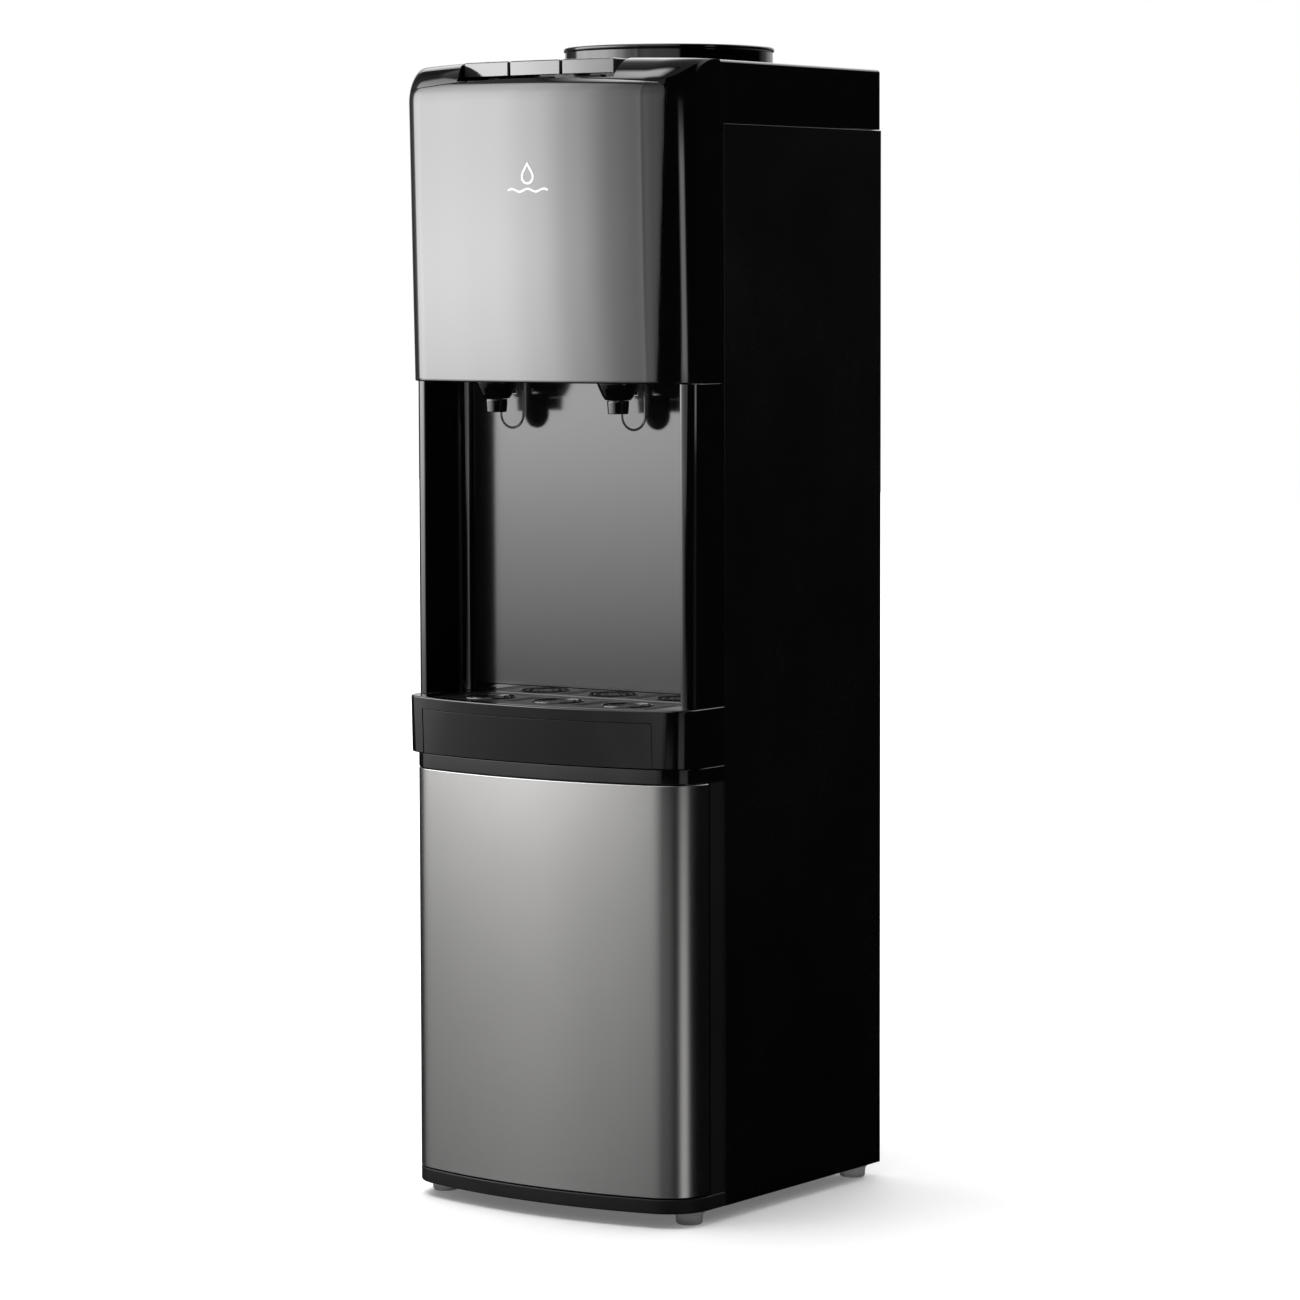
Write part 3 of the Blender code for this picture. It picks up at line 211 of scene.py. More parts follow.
def block_mesh(low, high):
    bm = bmesh.new()
    bmesh.ops.create_cube(bm, size=1.0)
    low, high = Vector(low), Vector(high)
    bmesh.ops.scale(bm, vec=high - low, verts=bm.verts)
    bmesh.ops.translate(bm, vec=(high + low) / 2, verts=bm.verts)
    return bm


def rod_mesh(start, end, radius, sides=32, bm=None):
    start, end = Vector(start), Vector(end)
    bm = bm or bmesh.new()
    turn = (end - start).to_track_quat("Z", "Y").to_matrix().to_4x4()
    bmesh.ops.create_cone(bm, cap_ends=True, segments=sides, radius1=radius, radius2=radius,
                          depth=(end - start).length, matrix=Matrix.Translation((start + end) / 2) @ turn)
    return bm


def turned_mesh(profile, centre, steps=96, axis="Z", bm=None):
    """A closed or axis-to-axis profile of (radius, height), turned about an axis through centre."""
    bm = bm or bmesh.new()
    turn = Matrix.Identity(4) if axis == "Z" else Matrix.Rotation(-math.pi / 2, 4, "X")
    matrix = Matrix.Translation(centre) @ turn
    rings = []
    for radius, height in profile:
        if radius < 1e-7:
            rings.append([bm.verts.new(matrix @ Vector((0.0, 0.0, height)))])
            continue
        ring = []
        for i in range(steps):
            angle = 2 * math.pi * i / steps
            ring.append(bm.verts.new(matrix @ Vector((radius * math.cos(angle), radius * math.sin(angle),
                                                      height))))
        rings.append(ring)
    pairs = list(zip(rings, rings[1:]))
    if len(rings[0]) > 1 and len(rings[-1]) > 1:
        pairs.append((rings[-1], rings[0]))
    for first, second in pairs:
        for i in range(steps):
            j = (i + 1) % steps
            corners = [first[i % len(first)], first[j % len(first)], second[j % len(second)],
                       second[i % len(second)]]
            unique = [v for k, v in enumerate(corners) if v not in corners[:k]]
            if len(unique) > 2:
                bm.faces.new(unique)
    return bm


def rounded_profile(points, radius, steps=4, closed=True):
    """Replace the corners of a profile by short curves."""
    corners = [Vector(p) for p in points]
    made = []
    for i, corner in enumerate(corners):
        if not closed and i in (0, len(corners) - 1):
            made.append(tuple(corner))
            continue
        before, after = corners[i - 1] - corner, corners[(i + 1) % len(corners)] - corner
        reach = min(radius, before.length * 0.45, after.length * 0.45)
        first, last = corner + before.normalized() * reach, corner + after.normalized() * reach
        for k in range(steps + 1):
            t = k / steps
            made.append(tuple(first * (1 - t) ** 2 + corner * 2 * t * (1 - t) + last * t ** 2))
    return made


def loft_mesh(rings, bm=None):
    bm = bm or bmesh.new()
    levels = [[bm.verts.new(point) for point in ring] for ring in rings]
    for lower, upper in zip(levels, levels[1:]):
        for i, corner in enumerate(lower):
            j = (i + 1) % len(lower)
            bm.faces.new((corner, lower[j], upper[j], upper[i]))
    bm.faces.new(levels[0])
    bm.faces.new(levels[-1])
    return bm


def soft_stack(outline_at, low, high, radius, steps=4, low_radius=None):
    """Rings of a slab with rounded upper and lower edges; outline_at(inset, z) gives each ring's outline."""
    rings = []
    under = radius if low_radius is None else low_radius
    for i in reversed(range(steps + 1)):
        angle = math.pi / 2 * i / steps
        z = low + under * (1 - math.sin(angle))
        rings.append([(x, y, z) for x, y in outline_at(under * (1 - math.cos(angle)), z)])
    for i in range(steps + 1):
        angle = math.pi / 2 * i / steps
        z = high - radius * (1 - math.sin(angle))
        rings.append([(x, y, z) for x, y in outline_at(radius * (1 - math.cos(angle)), z)])
    return rings


def prism_mesh(outline, low, high, matrix=None, bm=None):
    bm = bm or bmesh.new()
    matrix = matrix or Matrix.Identity(4)
    bottom = [bm.verts.new(matrix @ Vector((x, y, low))) for x, y in outline]
    top = [bm.verts.new(matrix @ Vector((x, y, high))) for x, y in outline]
    for i in range(len(outline)):
        j = (i + 1) % len(outline)
        bm.faces.new((bottom[i], bottom[j], top[j], top[i]))
    bm.faces.new(bottom[::-1])
    bm.faces.new(top)
    return bm


# turns an outline in x and z upright, with its thickness along y
UPRIGHT = Matrix(((1, 0, 0, 0), (0, 0, 1, 0), (0, 1, 0, 0), (0, 0, 0, 1)))


def combine(target, cutter_bm, operation="DIFFERENCE"):
    """Apply one exact boolean and drop its cutter."""
    cutter = mesh_object("cutter", cutter_bm, None)
    modifier = target.modifiers.new("cut", "BOOLEAN")
    modifier.operation = operation
    modifier.solver = "EXACT"
    modifier.object = cutter
    bpy.context.view_layer.update()
    graph = bpy.context.evaluated_depsgraph_get()
    mesh = bpy.data.meshes.new_from_object(target.evaluated_get(graph))
    target.modifiers.remove(modifier)
    old = target.data
    target.data = mesh
    bpy.data.meshes.remove(old)
    bpy.data.objects.remove(cutter, do_unlink=True)
    return target


def finish_cut(obj, body, node=None, bevel=0.0, segments=3, angle=40.0):
    """Shade a mesh that booleans have changed, and settle it on its body."""
    bm = bmesh.new()
    bm.from_mesh(obj.data)
    bmesh.ops.remove_doubles(bm, verts=bm.verts, dist=0.000002)
    bmesh.ops.dissolve_degenerate(bm, edges=bm.edges, dist=0.000002)
    bm.to_mesh(obj.data)
    bm.free()
    obj.data.shade_smooth()
    obj.data.set_sharp_from_angle(angle=math.radians(35))
    if bevel:
        soften(obj, bevel, segments, angle)
    obj.modifiers.new("shading", "WEIGHTED_NORMAL").keep_sharp = True
    return settle(obj, body, node)


def paint_nodes(finish, *names):
    for name in names:
        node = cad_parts[name]
        if not node.data.materials:
            node.data.materials.append(None)
        for slot_of_node in node.material_slots:
            slot_of_node.link = "OBJECT"
            slot_of_node.material = finish


# ---------------------------------------------------------------- outlines

def bow_arc(half, front, bow, corner):
    radius = (half * half + bow * bow) / (2 * bow)
    centre = front + radius
    corner_x = half - corner
    corner_y = centre - math.sqrt((radius - corner) ** 2 - corner_x ** 2)
    return radius, centre, corner_x, corner_y, math.atan2(corner_x, centre - corner_y)


def bow_outline(half, front, bow, corner, rear, rear_half=None, step_y=SEAM, arc_steps=56, corner_steps=20,
                nick=0.0):
    """Closed plan outline: rear, right side, front bow, left side. Nick chamfers the rear corners."""
    radius, centre, corner_x, corner_y, meet = bow_arc(half, front, bow, corner)
    right = []
    for i in range(corner_steps + 1):
        angle = math.pi / 2 + (meet - math.pi / 2) * i / corner_steps
        right.append((corner_x + corner * math.sin(angle), corner_y - corner * math.cos(angle)))
    bow_points = []
    for i in range(1, arc_steps):
        angle = meet - 2 * meet * i / arc_steps
        bow_points.append((radius * math.sin(angle), centre - radius * math.cos(angle)))
    if rear_half is None:
        side = [(half - nick, rear), (half, rear - nick)] if nick else [(half, rear)]
    else:
        side = [(rear_half, rear), (rear_half, step_y), (half, step_y)]
    mirrored = [(-x, y) for x, y in reversed(side + right)]
    return side + right + bow_points + mirrored


def front_y(x, half, front, bow, corner):
    radius, centre, corner_x, corner_y, meet = bow_arc(half, front, bow, corner)
    if abs(x) <= radius * math.sin(meet):
        return centre - math.sqrt(radius * radius - x * x)
    return corner_y - math.sqrt(max(corner * corner - (abs(x) - corner_x) ** 2, 0.0))


def lean(z):
    fillet_start = HEAD_HIGH - TOP_FILLET
    slope = (LEAN_HIGH - LEAN_LOW) / (fillet_start - HEAD_LOW)
    proud = LEAN_LOW + slope * (min(z, fillet_start) - HEAD_LOW)
    rise = min(max((z - fillet_start) / TOP_FILLET, 0.0), 1.0)
    return proud - TOP_FILLET * (1 - math.sqrt(1 - rise * rise))


def head_corner(z):
    straight = LEAN_HIGH if z > HEAD_HIGH - TOP_FILLET else lean(z)
    return HEAD_CORNER - 0.56 * (straight - lean(z))


def head_y(x, z):
    return front_y(x, SKIN_HALF, FRONT - lean(z), BOW, head_corner(z))


def tray_shape(z):
    share = min(max((z - TRAY_LOW) / (TRAY_HIGH - TRAY_LOW), 0.0), 1.0)
    return (TRAY_FRONT_LOW + (TRAY_FRONT_HIGH - TRAY_FRONT_LOW) * share,
            TRAY_BOW_LOW + (TRAY_BOW_HIGH - TRAY_BOW_LOW) * share)


def tray_y(x, z):
    front, bow = tray_shape(z)
    return front_y(x, HALF_WIDTH, front, bow, TRAY_CORNER)


def skin_slab(surface, half, low, high, outer, inner, columns=96, rows=56):
    """A curved slab that follows surface(x, z), from outer to inner behind it."""
    bm = bmesh.new()
    grid = {}
    for side, shift in ((0, outer), (1, inner)):
        for i in range(rows + 1):
            z = low + (high - low) * math.sin(math.pi / 2 * i / rows)
            for j in range(columns + 1):
                x = half * math.sin(math.pi * (j / columns - 0.5))
                grid[side, i, j] = bm.verts.new((x, surface(x, z) + shift, z))
    for i in range(rows):
        for j in range(columns):
            for side in (0, 1):
                bm.faces.new([grid[side, a, b] for a, b in ((i, j), (i, j + 1), (i + 1, j + 1), (i + 1, j))])
    border = [(0, j) for j in range(columns)] + [(i, columns) for i in range(rows)]
    border += [(rows, columns - j) for j in range(columns)] + [(rows - i, 0) for i in range(rows)]
    for first, second in zip(border, border[1:] + border[:1]):
        bm.faces.new((grid[(0, *first)], grid[(0, *second)], grid[(1, *second)], grid[(1, *first)]))
    return bm


# ---------------------------------------------------------------- base, feet, sides

def bowed_slab(low, high, radius, rear):
    """A slab of the body's plan outline with rounded edges."""
    def ring(inset, _):
        return bow_outline(HALF_WIDTH - inset, FRONT + inset, BOW, CORNER - inset, rear, rear_half=INNER_HALF)
    return loft_mesh(soft_stack(ring, low, high, radius))


def make_base():
    mesh_object("base_shell", bowed_slab(BASE_LOW, BASE_HIGH, 0.0012, BASE_REAR), MATTE, "cabinet",
                "base_plinth")


def make_feet():
    profile = rounded_profile([(0.0, BASE_LOW), (0.0136, BASE_LOW), (0.0138, 0.0098), (0.0122, 0.0088),
                               (0.0116, 0.0012), (0.0104, 0.0), (0.0, 0.0)], 0.0007, closed=False)
    for end, y in (("front", -0.1088), ("rear", 0.1549)):
        for side, x in (("left", -0.136), ("right", 0.136)):
            mesh_object(f"foot_{end}_{side}_rubber", turned_mesh(profile, (x, y, 0.0), 48), FOOT, "cabinet",
                        f"foot_{end}_{side}")


def make_side_panels():
    thick, flange, bend = 0.0012, 0.012, 0.0025
    outline = [(HALF_WIDTH, SIDE_FRONT)]
    for i in range(6):
        angle = math.pi / 2 * i / 5
        outline.append((HALF_WIDTH - bend + bend * math.cos(angle), REAR - bend + bend * math.sin(angle)))
    outline += [(HALF_WIDTH - flange, REAR), (HALF_WIDTH - flange, REAR - thick),
                (HALF_WIDTH - bend, REAR - thick), (HALF_WIDTH - thick, REAR - bend),
                (HALF_WIDTH - thick, SIDE_FRONT)]
    for side, sign in (("left", -1), ("right", 1)):
        bm = prism_mesh([(sign * x, y) for x, y in outline], BASE_LOW, SIDE_HIGH)
        mesh_object(f"side_sheet_{side}", bm, PAINT, "cabinet", f"side_panel_{side}",
                    bevel=0.0003, segments=2, angle=50)


# ---------------------------------------------------------------- door and bezel

def make_door():
    outer = bow_outline(HALF_WIDTH, FRONT, BOW, CORNER, DOOR_REAR)
    thick = 0.0012
    inner = bow_outline(HALF_WIDTH - thick, FRONT + thick, BOW - 0.2 * thick, CORNER - thick, DOOR_REAR)
    bm = prism_mesh(outer + inner[::-1], DOOR_LOW, DOOR_HIGH)
    mesh_object("door_steel_skin", bm, STEEL, "door", "door_skin", bevel=0.0005, segments=3,
                angle=50)

    def cap_ring(inset, _):
        grow = 0.0014 + inset
        return bow_outline(HALF_WIDTH - grow, FRONT + grow, BOW - 0.2 * grow, CORNER - grow,
                           DOOR_REAR - 0.0003)

    for end, low in (("top", DOOR_HIGH - 0.0034), ("bottom", DOOR_LOW + 0.0004)):
        mesh_object(f"door_end_{end}", loft_mesh(soft_stack(cap_ring, low, low + 0.0030, 0.0004, 2)), MATTE,
                    "door", f"door_cap_{end}")

    panel = mesh_object("door_liner", block_mesh((-0.1530, -0.1090, DOOR_LOW + 0.0038),
                                                 (0.1530, DOOR_REAR - 0.0004, DOOR_HIGH - 0.0038)), WHITE)
    pad = rounded_rectangle(0.1120, 0.0500, 0.3640, 0.012)
    combine(panel, prism_mesh(pad, -0.1080, -0.1012, UPRIGHT), "UNION")
    well = rounded_rectangle(0.0980, 0.0640, 0.3500, 0.010)
    combine(panel, prism_mesh(well, -0.1035, -0.0900, UPRIGHT))
    finish_cut(panel, "door", "door_inner_panel", bevel=0.0012)


def rounded_rectangle(half, low, high, radius, steps=8):
    points = []
    for x, z, start in ((half, high, 0), (-half, high, 1), (-half, low, 2), (half, low, 3)):
        cx = x - math.copysign(radius, x)
        cz = z - radius if z == high else z + radius
        for i in range(steps + 1):
            angle = math.pi / 2 * (start + i / steps)
            points.append((cx + radius * math.cos(angle), cz + radius * math.sin(angle)))
    return points


def make_bezel():
    mesh_object("bezel_band", bowed_slab(BEZEL_LOW, BEZEL_HIGH, 0.0007, WALL_REAR), GLOSS, "cabinet",
                "lower_bezel")


# ---------------------------------------------------------------- drip tray

def make_tray():
    def ring(inset, z):
        front, bow = tray_shape(z)
        return bow_outline(HALF_WIDTH - inset, front + inset, bow, TRAY_CORNER - inset, WALL_REAR,
                           rear_half=INNER_HALF)

    rim = mesh_object("tray_rim",
                      loft_mesh(soft_stack(ring, TRAY_LOW, TRAY_HIGH, 0.0014, 5, low_radius=0.0008)), GLOSS)
    combine(rim, block_mesh((-0.1268, -0.30, 0.38), (0.1268, -0.0785, TRAY_BAND)))
    seat = bow_outline(GRILLE_HALF + 0.0006, GRILLE_FRONT - 0.0006, GRILLE_BOW, 0.008, GRILLE_REAR + 0.0006)
    combine(rim, prism_mesh(seat, 0.4528, 0.4700))
    drop = bow_outline(GRILLE_HALF - 0.004, GRILLE_FRONT + 0.004, GRILLE_BOW, 0.008, GRILLE_REAR - 0.004)
    combine(rim, prism_mesh(drop, 0.4300, 0.4600))
    combine(rim, block_mesh((0.0003 - BACK_PANEL_HALF, -0.0750, TRAY_HIGH - 0.004),
                             (BACK_PANEL_HALF - 0.0003, WALL_REAR, PANEL_LOW - 0.0003)), "UNION")
    finish_cut(rim, "cabinet", "tray_surround", bevel=0.0004, segments=2)

    fascia = skin_slab(tray_y, 0.1260, TRAY_LOW + 0.0004, TRAY_BAND - 0.0006, 0.0006, 0.0036, 72, 8)
    mesh_object("tray_front", fascia, FASCIA, "tray", "tray_fascia", bevel=0.0006, segments=3,
                angle=50)

    outline = bow_outline(TRAY_HALF_IN, TRAY_FRONT_LOW + 0.0046, 0.0170, 0.006, -0.0792)
    basin = mesh_object("tray_basin", prism_mesh(outline, TRAY_LOW + 0.0002, 0.4440), MATTE)
    hollow = bow_outline(TRAY_HALF_IN - 0.0025, TRAY_FRONT_LOW + 0.0071, 0.0165, 0.004, -0.0817)
    combine(basin, prism_mesh(hollow, TRAY_LOW + 0.0027, 0.4600))
    finish_cut(basin, "tray", "drip_tray", bevel=0.0008, segments=2)


def arc_slot(centre, radius, width, start, end, steps=10):
    """Plan outline of a slot along an arc."""
    outer, inner = [], []
    for i in range(steps + 1):
        angle = start + (end - start) * i / steps
        outer.append((centre[0] + (radius + width / 2) * math.cos(angle),
                      centre[1] + (radius + width / 2) * math.sin(angle)))
        inner.append((centre[0] + (radius - width / 2) * math.cos(angle),
                      centre[1] + (radius - width / 2) * math.sin(angle)))
    return outer + inner[::-1]


def slot_mesh(x, y, half_x, half_y, cutter):
    """Add a straight slot through the grille to its cutter."""
    prism_mesh([(x - half_x, y - half_y), (x + half_x, y - half_y), (x + half_x, y + half_y),
                (x - half_x, y + half_y)], *GRILLE_CUT, bm=cutter)


def make_grille():
    def ring(inset, _):
        return bow_outline(GRILLE_HALF - inset, GRILLE_FRONT + inset, GRILLE_BOW, 0.0075 - inset,
                           GRILLE_REAR - inset)

    grille = mesh_object("grille_plate", loft_mesh(soft_stack(ring, 0.4531, 0.4560, 0.0006, 3)), GRID)
    cutter = bmesh.new()
    for x in ROSETTES:
        for radius in (0.0075, 0.0135, 0.0195):
            pieces = 3 if radius < 0.01 else 4
            for k in range(pieces):
                span = 2 * math.pi / pieces
                gap = 0.0030 / radius
                start = span * k + gap / 2 + 0.4 * radius * 50
                prism_mesh(arc_slot((x, ROSETTE_Y), radius, 0.0028, start, start + span - gap), *GRILLE_CUT,
                           bm=cutter)
    for x in (-0.1120, -0.0430, -0.0380, -0.0330, 0.0330, 0.0380, 0.0430, 0.1120):
        slot_mesh(x, ROSETTE_Y, SLOT_HALF, 0.0235, cutter)
    for x in ROSETTES:
        for y in (-0.1480, -0.0870):
            slot_mesh(x, y, 0.0200, SLOT_HALF, cutter)
    combine(grille, cutter)
    finish_cut(grille, "grille", "drip_grille", bevel=0.0003, segments=2)
    for i, x in enumerate(ROSETTES):
        bm = turned_mesh(rounded_profile([(0.0236, 0.4558), (0.0232, 0.4569), (0.0222, 0.4569),
                                          (0.0218, 0.4558)],
                                         0.0004), (x, ROSETTE_Y, 0.0), 72)
        turned_mesh(rounded_profile([(0.0170, 0.4558), (0.0168, 0.4566), (0.0162, 0.4566), (0.0160, 0.4558)],
                                    0.0003), (x, ROSETTE_Y, 0.0), 72, bm=bm)
        mesh_object(f"grille_ring_{i}", bm, GLOSS, "grille")


# ---------------------------------------------------------------- cup recess, taps and paddles

def post_outline(sign, inset=0.0):
    half = SKIN_HALF - inset
    points = [(INNER_HALF - inset, WALL_REAR), (INNER_HALF - inset, SEAM), (half, SEAM)]
    corner_x, corner_y = half - POST_CORNER, POST_FRONT + inset + POST_CORNER
    last = math.acos((POST_INNER - corner_x) / POST_CORNER)
    for i in range(17):
        angle = last * i / 16
        points.append((corner_x + POST_CORNER * math.cos(angle), corner_y - POST_CORNER * math.sin(angle)))
    points += [(POST_INNER - 0.0012, POST_FRONT + inset + 0.0001),
               (POST_INNER - 0.0020, POST_FRONT + inset + 0.0008)]
    fillet_x, fillet_y = BAY_HALF - BAY_FILLET, BACK_PANEL_Y - BAY_FILLET
    for i in range(17):
        angle = math.pi / 2 * i / 16
        points.append((fillet_x + BAY_FILLET * math.cos(angle), fillet_y + BAY_FILLET * math.sin(angle)))
    points += [(BACK_PANEL_HALF + 0.0003, BACK_PANEL_Y), (BACK_PANEL_HALF + 0.0003, WALL_REAR)]
    return [(sign * x, y) for x, y in points]


def make_recess():
    for side, sign in (("left", -1), ("right", 1)):
        bm = prism_mesh(post_outline(sign), TRAY_HIGH + 0.0003, HEAD_LOW - 0.0003)
        mesh_object(f"recess_side_{side}", bm, GLOSS, "cabinet", f"recess_wall_{side}",
                    bevel=0.0003, segments=2, angle=60)
    mesh_object("recess_back", block_mesh((-BACK_PANEL_HALF, BACK_PANEL_Y, PANEL_LOW),
                                          (BACK_PANEL_HALF, WALL_REAR, 0.7412)), MIRROR, "cabinet",
                "recess_back_panel", bevel=0.0005)


def make_tap(side, sign):
    x = sign * TAP_X
    bell = rounded_profile([(0.0, 0.7600), (0.0124, 0.7600), (0.0124, 0.7412), (0.0186, 0.7412),
                            (0.0186, 0.7388), (0.0168, 0.7340), (0.0137, 0.7275), (0.0114, 0.7243),
                            (0.0, 0.7243)], 0.0011,
                           closed=False)
    body = mesh_object(f"tap_bell_{side}", turned_mesh(bell, (x, TAP_Y, 0.0), 72), GLOSS)
    combine(body, block_mesh((x - 0.0040, -0.1080, 0.7285), (x + 0.0040, PADDLE_AXIS[0] + 0.0035, 0.7382)),
            "UNION")
    finish_cut(body, "cabinet", f"tap_body_{side}", bevel=0.0004, segments=2, angle=50)
    spout = rounded_profile([(0.0062, 0.7240), (0.0096, 0.7240), (0.0098, 0.7228), (0.0091, 0.7126),
                             (0.0087, 0.7122), (0.0066, 0.7122), (0.0062, 0.7126)], 0.0004)
    mesh_object(f"tap_spout_{side}", turned_mesh(spout, (x, TAP_Y, 0.0), 64), GLOSS, "cabinet",
                f"tap_nozzle_{side}")


def paddle_outline(inset):
    half, top, low = 0.0134 - inset, 0.0040 - inset, -0.0385 + inset
    outline = [(half, top), (-half, top)]
    for i in range(33):
        angle = math.pi + math.pi * i / 32
        outline.append((half * math.cos(angle), low + half + half * math.sin(angle)))
    return outline


def make_paddle(side, sign):
    """The tongue has a raised rim around a slightly sunk, bright face."""
    x = sign * TAP_X
    y, z = PADDLE_AXIS
    rings = []
    steps = 4
    for inset, depth in [(0.0022, 0.0026), (0.0016, 0.0021)]:
        rings.append([(x + u, y + depth, z + v) for u, v in paddle_outline(inset)])
    for i in range(steps + 1):
        angle = math.pi * i / steps
        inset = 0.0007 * (1 - math.sin(angle))
        rings.append([(x + u, y + 0.0025 - 0.0007 * math.cos(angle) + (0.0006 if i > 2 else 0.0), z + v)
                      for u, v in paddle_outline(inset)])
    rings.append([(x + u, y + 0.0044, z + v) for u, v in paddle_outline(0.0016)])
    tongue = mesh_object(f"paddle_tongue_{side}", loft_mesh(rings), PADDLE)
    combine(tongue, block_mesh((x - 0.0048, -0.110, 0.7277), (x + 0.0048, -0.085, 0.7500)))
    for edge in (-1, 1):
        low_x, high_x = sorted((x + edge * 0.0052, x + edge * 0.0128))
        combine(tongue, block_mesh((low_x, y - 0.0022, z - 0.0034), (high_x, y + 0.0030, z + 0.0034)),
                "UNION")
    combine(tongue, rod_mesh((x - 0.0070, y, z), (x + 0.0070, y, z), 0.0016), "UNION")
    finish_cut(tongue, f"{side}_paddle", f"paddle_{side}", bevel=0.0002, segments=2, angle=60)


# ---------------------------------------------------------------- head, keys and top

def head_ring(z, inset, rear):
    outline = bow_outline(SKIN_HALF - inset, FRONT - lean(z) + inset, BOW, head_corner(z) - inset, rear,
                          nick=0.0006)
    return [(x, y, z) for x, y in outline]


def crown(obj):
    """Let the top fall away a little towards the sides."""
    for vertex in obj.data.vertices:
        x, _, z = vertex.co
        t = min(max((z - 0.985) / 0.03, 0.0), 1.0)
        vertex.co.z = z - CROWN * (x / SKIN_HALF) ** 2 * t * t * (3 - 2 * t)


def key_notch():
    outline = [(NOTCH_LEFT, NOTCH_REAR), (NOTCH_LEFT, -0.1435), (NOTCH_MOUTH, -0.1600), (NOTCH_MOUTH, -0.25),
               (NOTCH_RIGHT, -0.25), (NOTCH_RIGHT, NOTCH_REAR)]
    return prism_mesh(outline, NOTCH_FLOOR, HEAD_HIGH + 0.02)


def panel_top(x):
    return 1.0050 - 0.0060 * (x / 0.14) ** 2


def rolled_y(x, z):
    """The inset panel's face: the head's surface, which turns back a little along the panel's top edge."""
    t = max((z - panel_top(x)) / PANEL_ROLL + 1.0, 0.0)
    return head_y(x, z) + PANEL_ROLL_DEPTH * t * t


def panel_outline(grow):
    """Front outline of the inset head panel: sides spread upwards, the top edge is a shallow arch."""
    low, radius, steps = HEAD_LOW + 0.0024 - grow, 0.0095, 12

    def half(z):
        return 0.1310 + (z - HEAD_LOW) * 0.0345 + grow

    def top(x):
        return panel_top(x) + grow

    side = half(1.0)
    corner_x = side - radius
    corner_z = top(corner_x) - radius
    right = [(half(low), low)]
    for i in range(steps + 1):
        angle = math.pi / 2 * i / steps
        right.append((corner_x + radius * math.cos(angle), corner_z + radius * math.sin(angle)))
    arch = []
    for i in range(1, 24):
        x = corner_x - 2 * corner_x * i / 24
        arch.append((x, top(x)))
    return right + arch + [(-x, z) for x, z in reversed(right)]


def make_head():
    fillet = HEAD_HIGH - TOP_FILLET
    step = SIDE_HIGH + 0.0002
    rings = []
    for i in reversed(range(5)):
        angle = math.pi / 2 * i / 4
        z = HEAD_LOW + HEAD_EDGE * (1 - math.sin(angle))
        rings.append(head_ring(z, HEAD_EDGE * (1 - math.cos(angle)), SEAM))
    rings += [head_ring(HEAD_LOW + (step - HEAD_LOW) * i / 6, 0.0, SEAM) for i in range(1, 7)]
    rings += [head_ring(step + 0.0002 + (fillet - step) * i / 4, 0.0, HEAD_SEAM) for i in range(4)]
    rings += [head_ring(fillet + TOP_FILLET * math.sin(math.pi / 2 * i / 20), 0.0,
                        HEAD_SEAM) for i in range(21)]
    shell = mesh_object("head_shell", loft_mesh(rings), GLOSS)
    slab = skin_slab(head_y, 0.1500, HEAD_LOW - 0.006, 1.0110, -0.0200, 0.0019)
    pocket = mesh_object("pocket", slab, None)
    combine(pocket, prism_mesh(panel_outline(0.0007), *PANEL_CUT_DEPTH, UPRIGHT), "INTERSECT")
    bm = bmesh.new()
    bm.from_mesh(pocket.data)
    bpy.data.objects.remove(pocket, do_unlink=True)
    combine(shell, bm)
    combine(shell, key_notch())
    crown(shell)
    finish_cut(shell, "cabinet", "head_front_cover", bevel=0.0004, segments=2, angle=50)

    front = mesh_object("head_front", skin_slab(rolled_y, 0.1500, HEAD_LOW - 0.006, 1.0110, 0.0, 0.0016),
                        PANEL)
    combine(front, prism_mesh(panel_outline(0.0), *PANEL_CUT_DEPTH, UPRIGHT), "INTERSECT")
    finish_cut(front, "cabinet", "head_front_panel", bevel=0.0005, segments=3, angle=50)


def on_head(outer, inner, proud=0.00025):
    """A thin printed ring between two closed outlines in x and z that lies on the head's front."""
    bm = bmesh.new()
    loops = []
    for outline in (outer, inner):
        for lift in (proud, -0.0003):
            loops.append([bm.verts.new((x, head_y(x, z) - lift, z)) for x, z in outline])
    outer_front, outer_back, inner_front, inner_back = loops
    count = len(outer)
    for i in range(count):
        j = (i + 1) % count
        bm.faces.new((outer_front[i], outer_front[j], inner_front[j], inner_front[i]))
        bm.faces.new((outer_back[i], outer_back[j], inner_back[j], inner_back[i]))
        bm.faces.new((outer_front[i], outer_front[j], outer_back[j], outer_back[i]))
        bm.faces.new((inner_front[i], inner_front[j], inner_back[j], inner_back[i]))
    return bm


def drop_outline(centre, radius, tip, steps=40):
    """A droplet: a circle below, two straight flanks that meet in a tip above."""
    x0, z0 = centre
    meet = math.acos(radius / tip)
    points = [(x0, z0 + tip)]
    for i in range(steps + 1):
        angle = math.pi / 2 - meet - (2 * math.pi - 2 * meet) * i / steps
        points.append((x0 + radius * math.cos(angle), z0 + radius * math.sin(angle)))
    return points


def wave_strip(x_low, x_high, z, height, width, steps=48):
    upper, lower = [], []
    for i in range(steps + 1):
        t = i / steps
        x = x_low + (x_high - x_low) * t
        middle = z + height * math.sin(2 * math.pi * 2.5 * t)
        upper.append((x, middle + width / 2))
        lower.append((x, middle - width / 2))
    return upper, lower


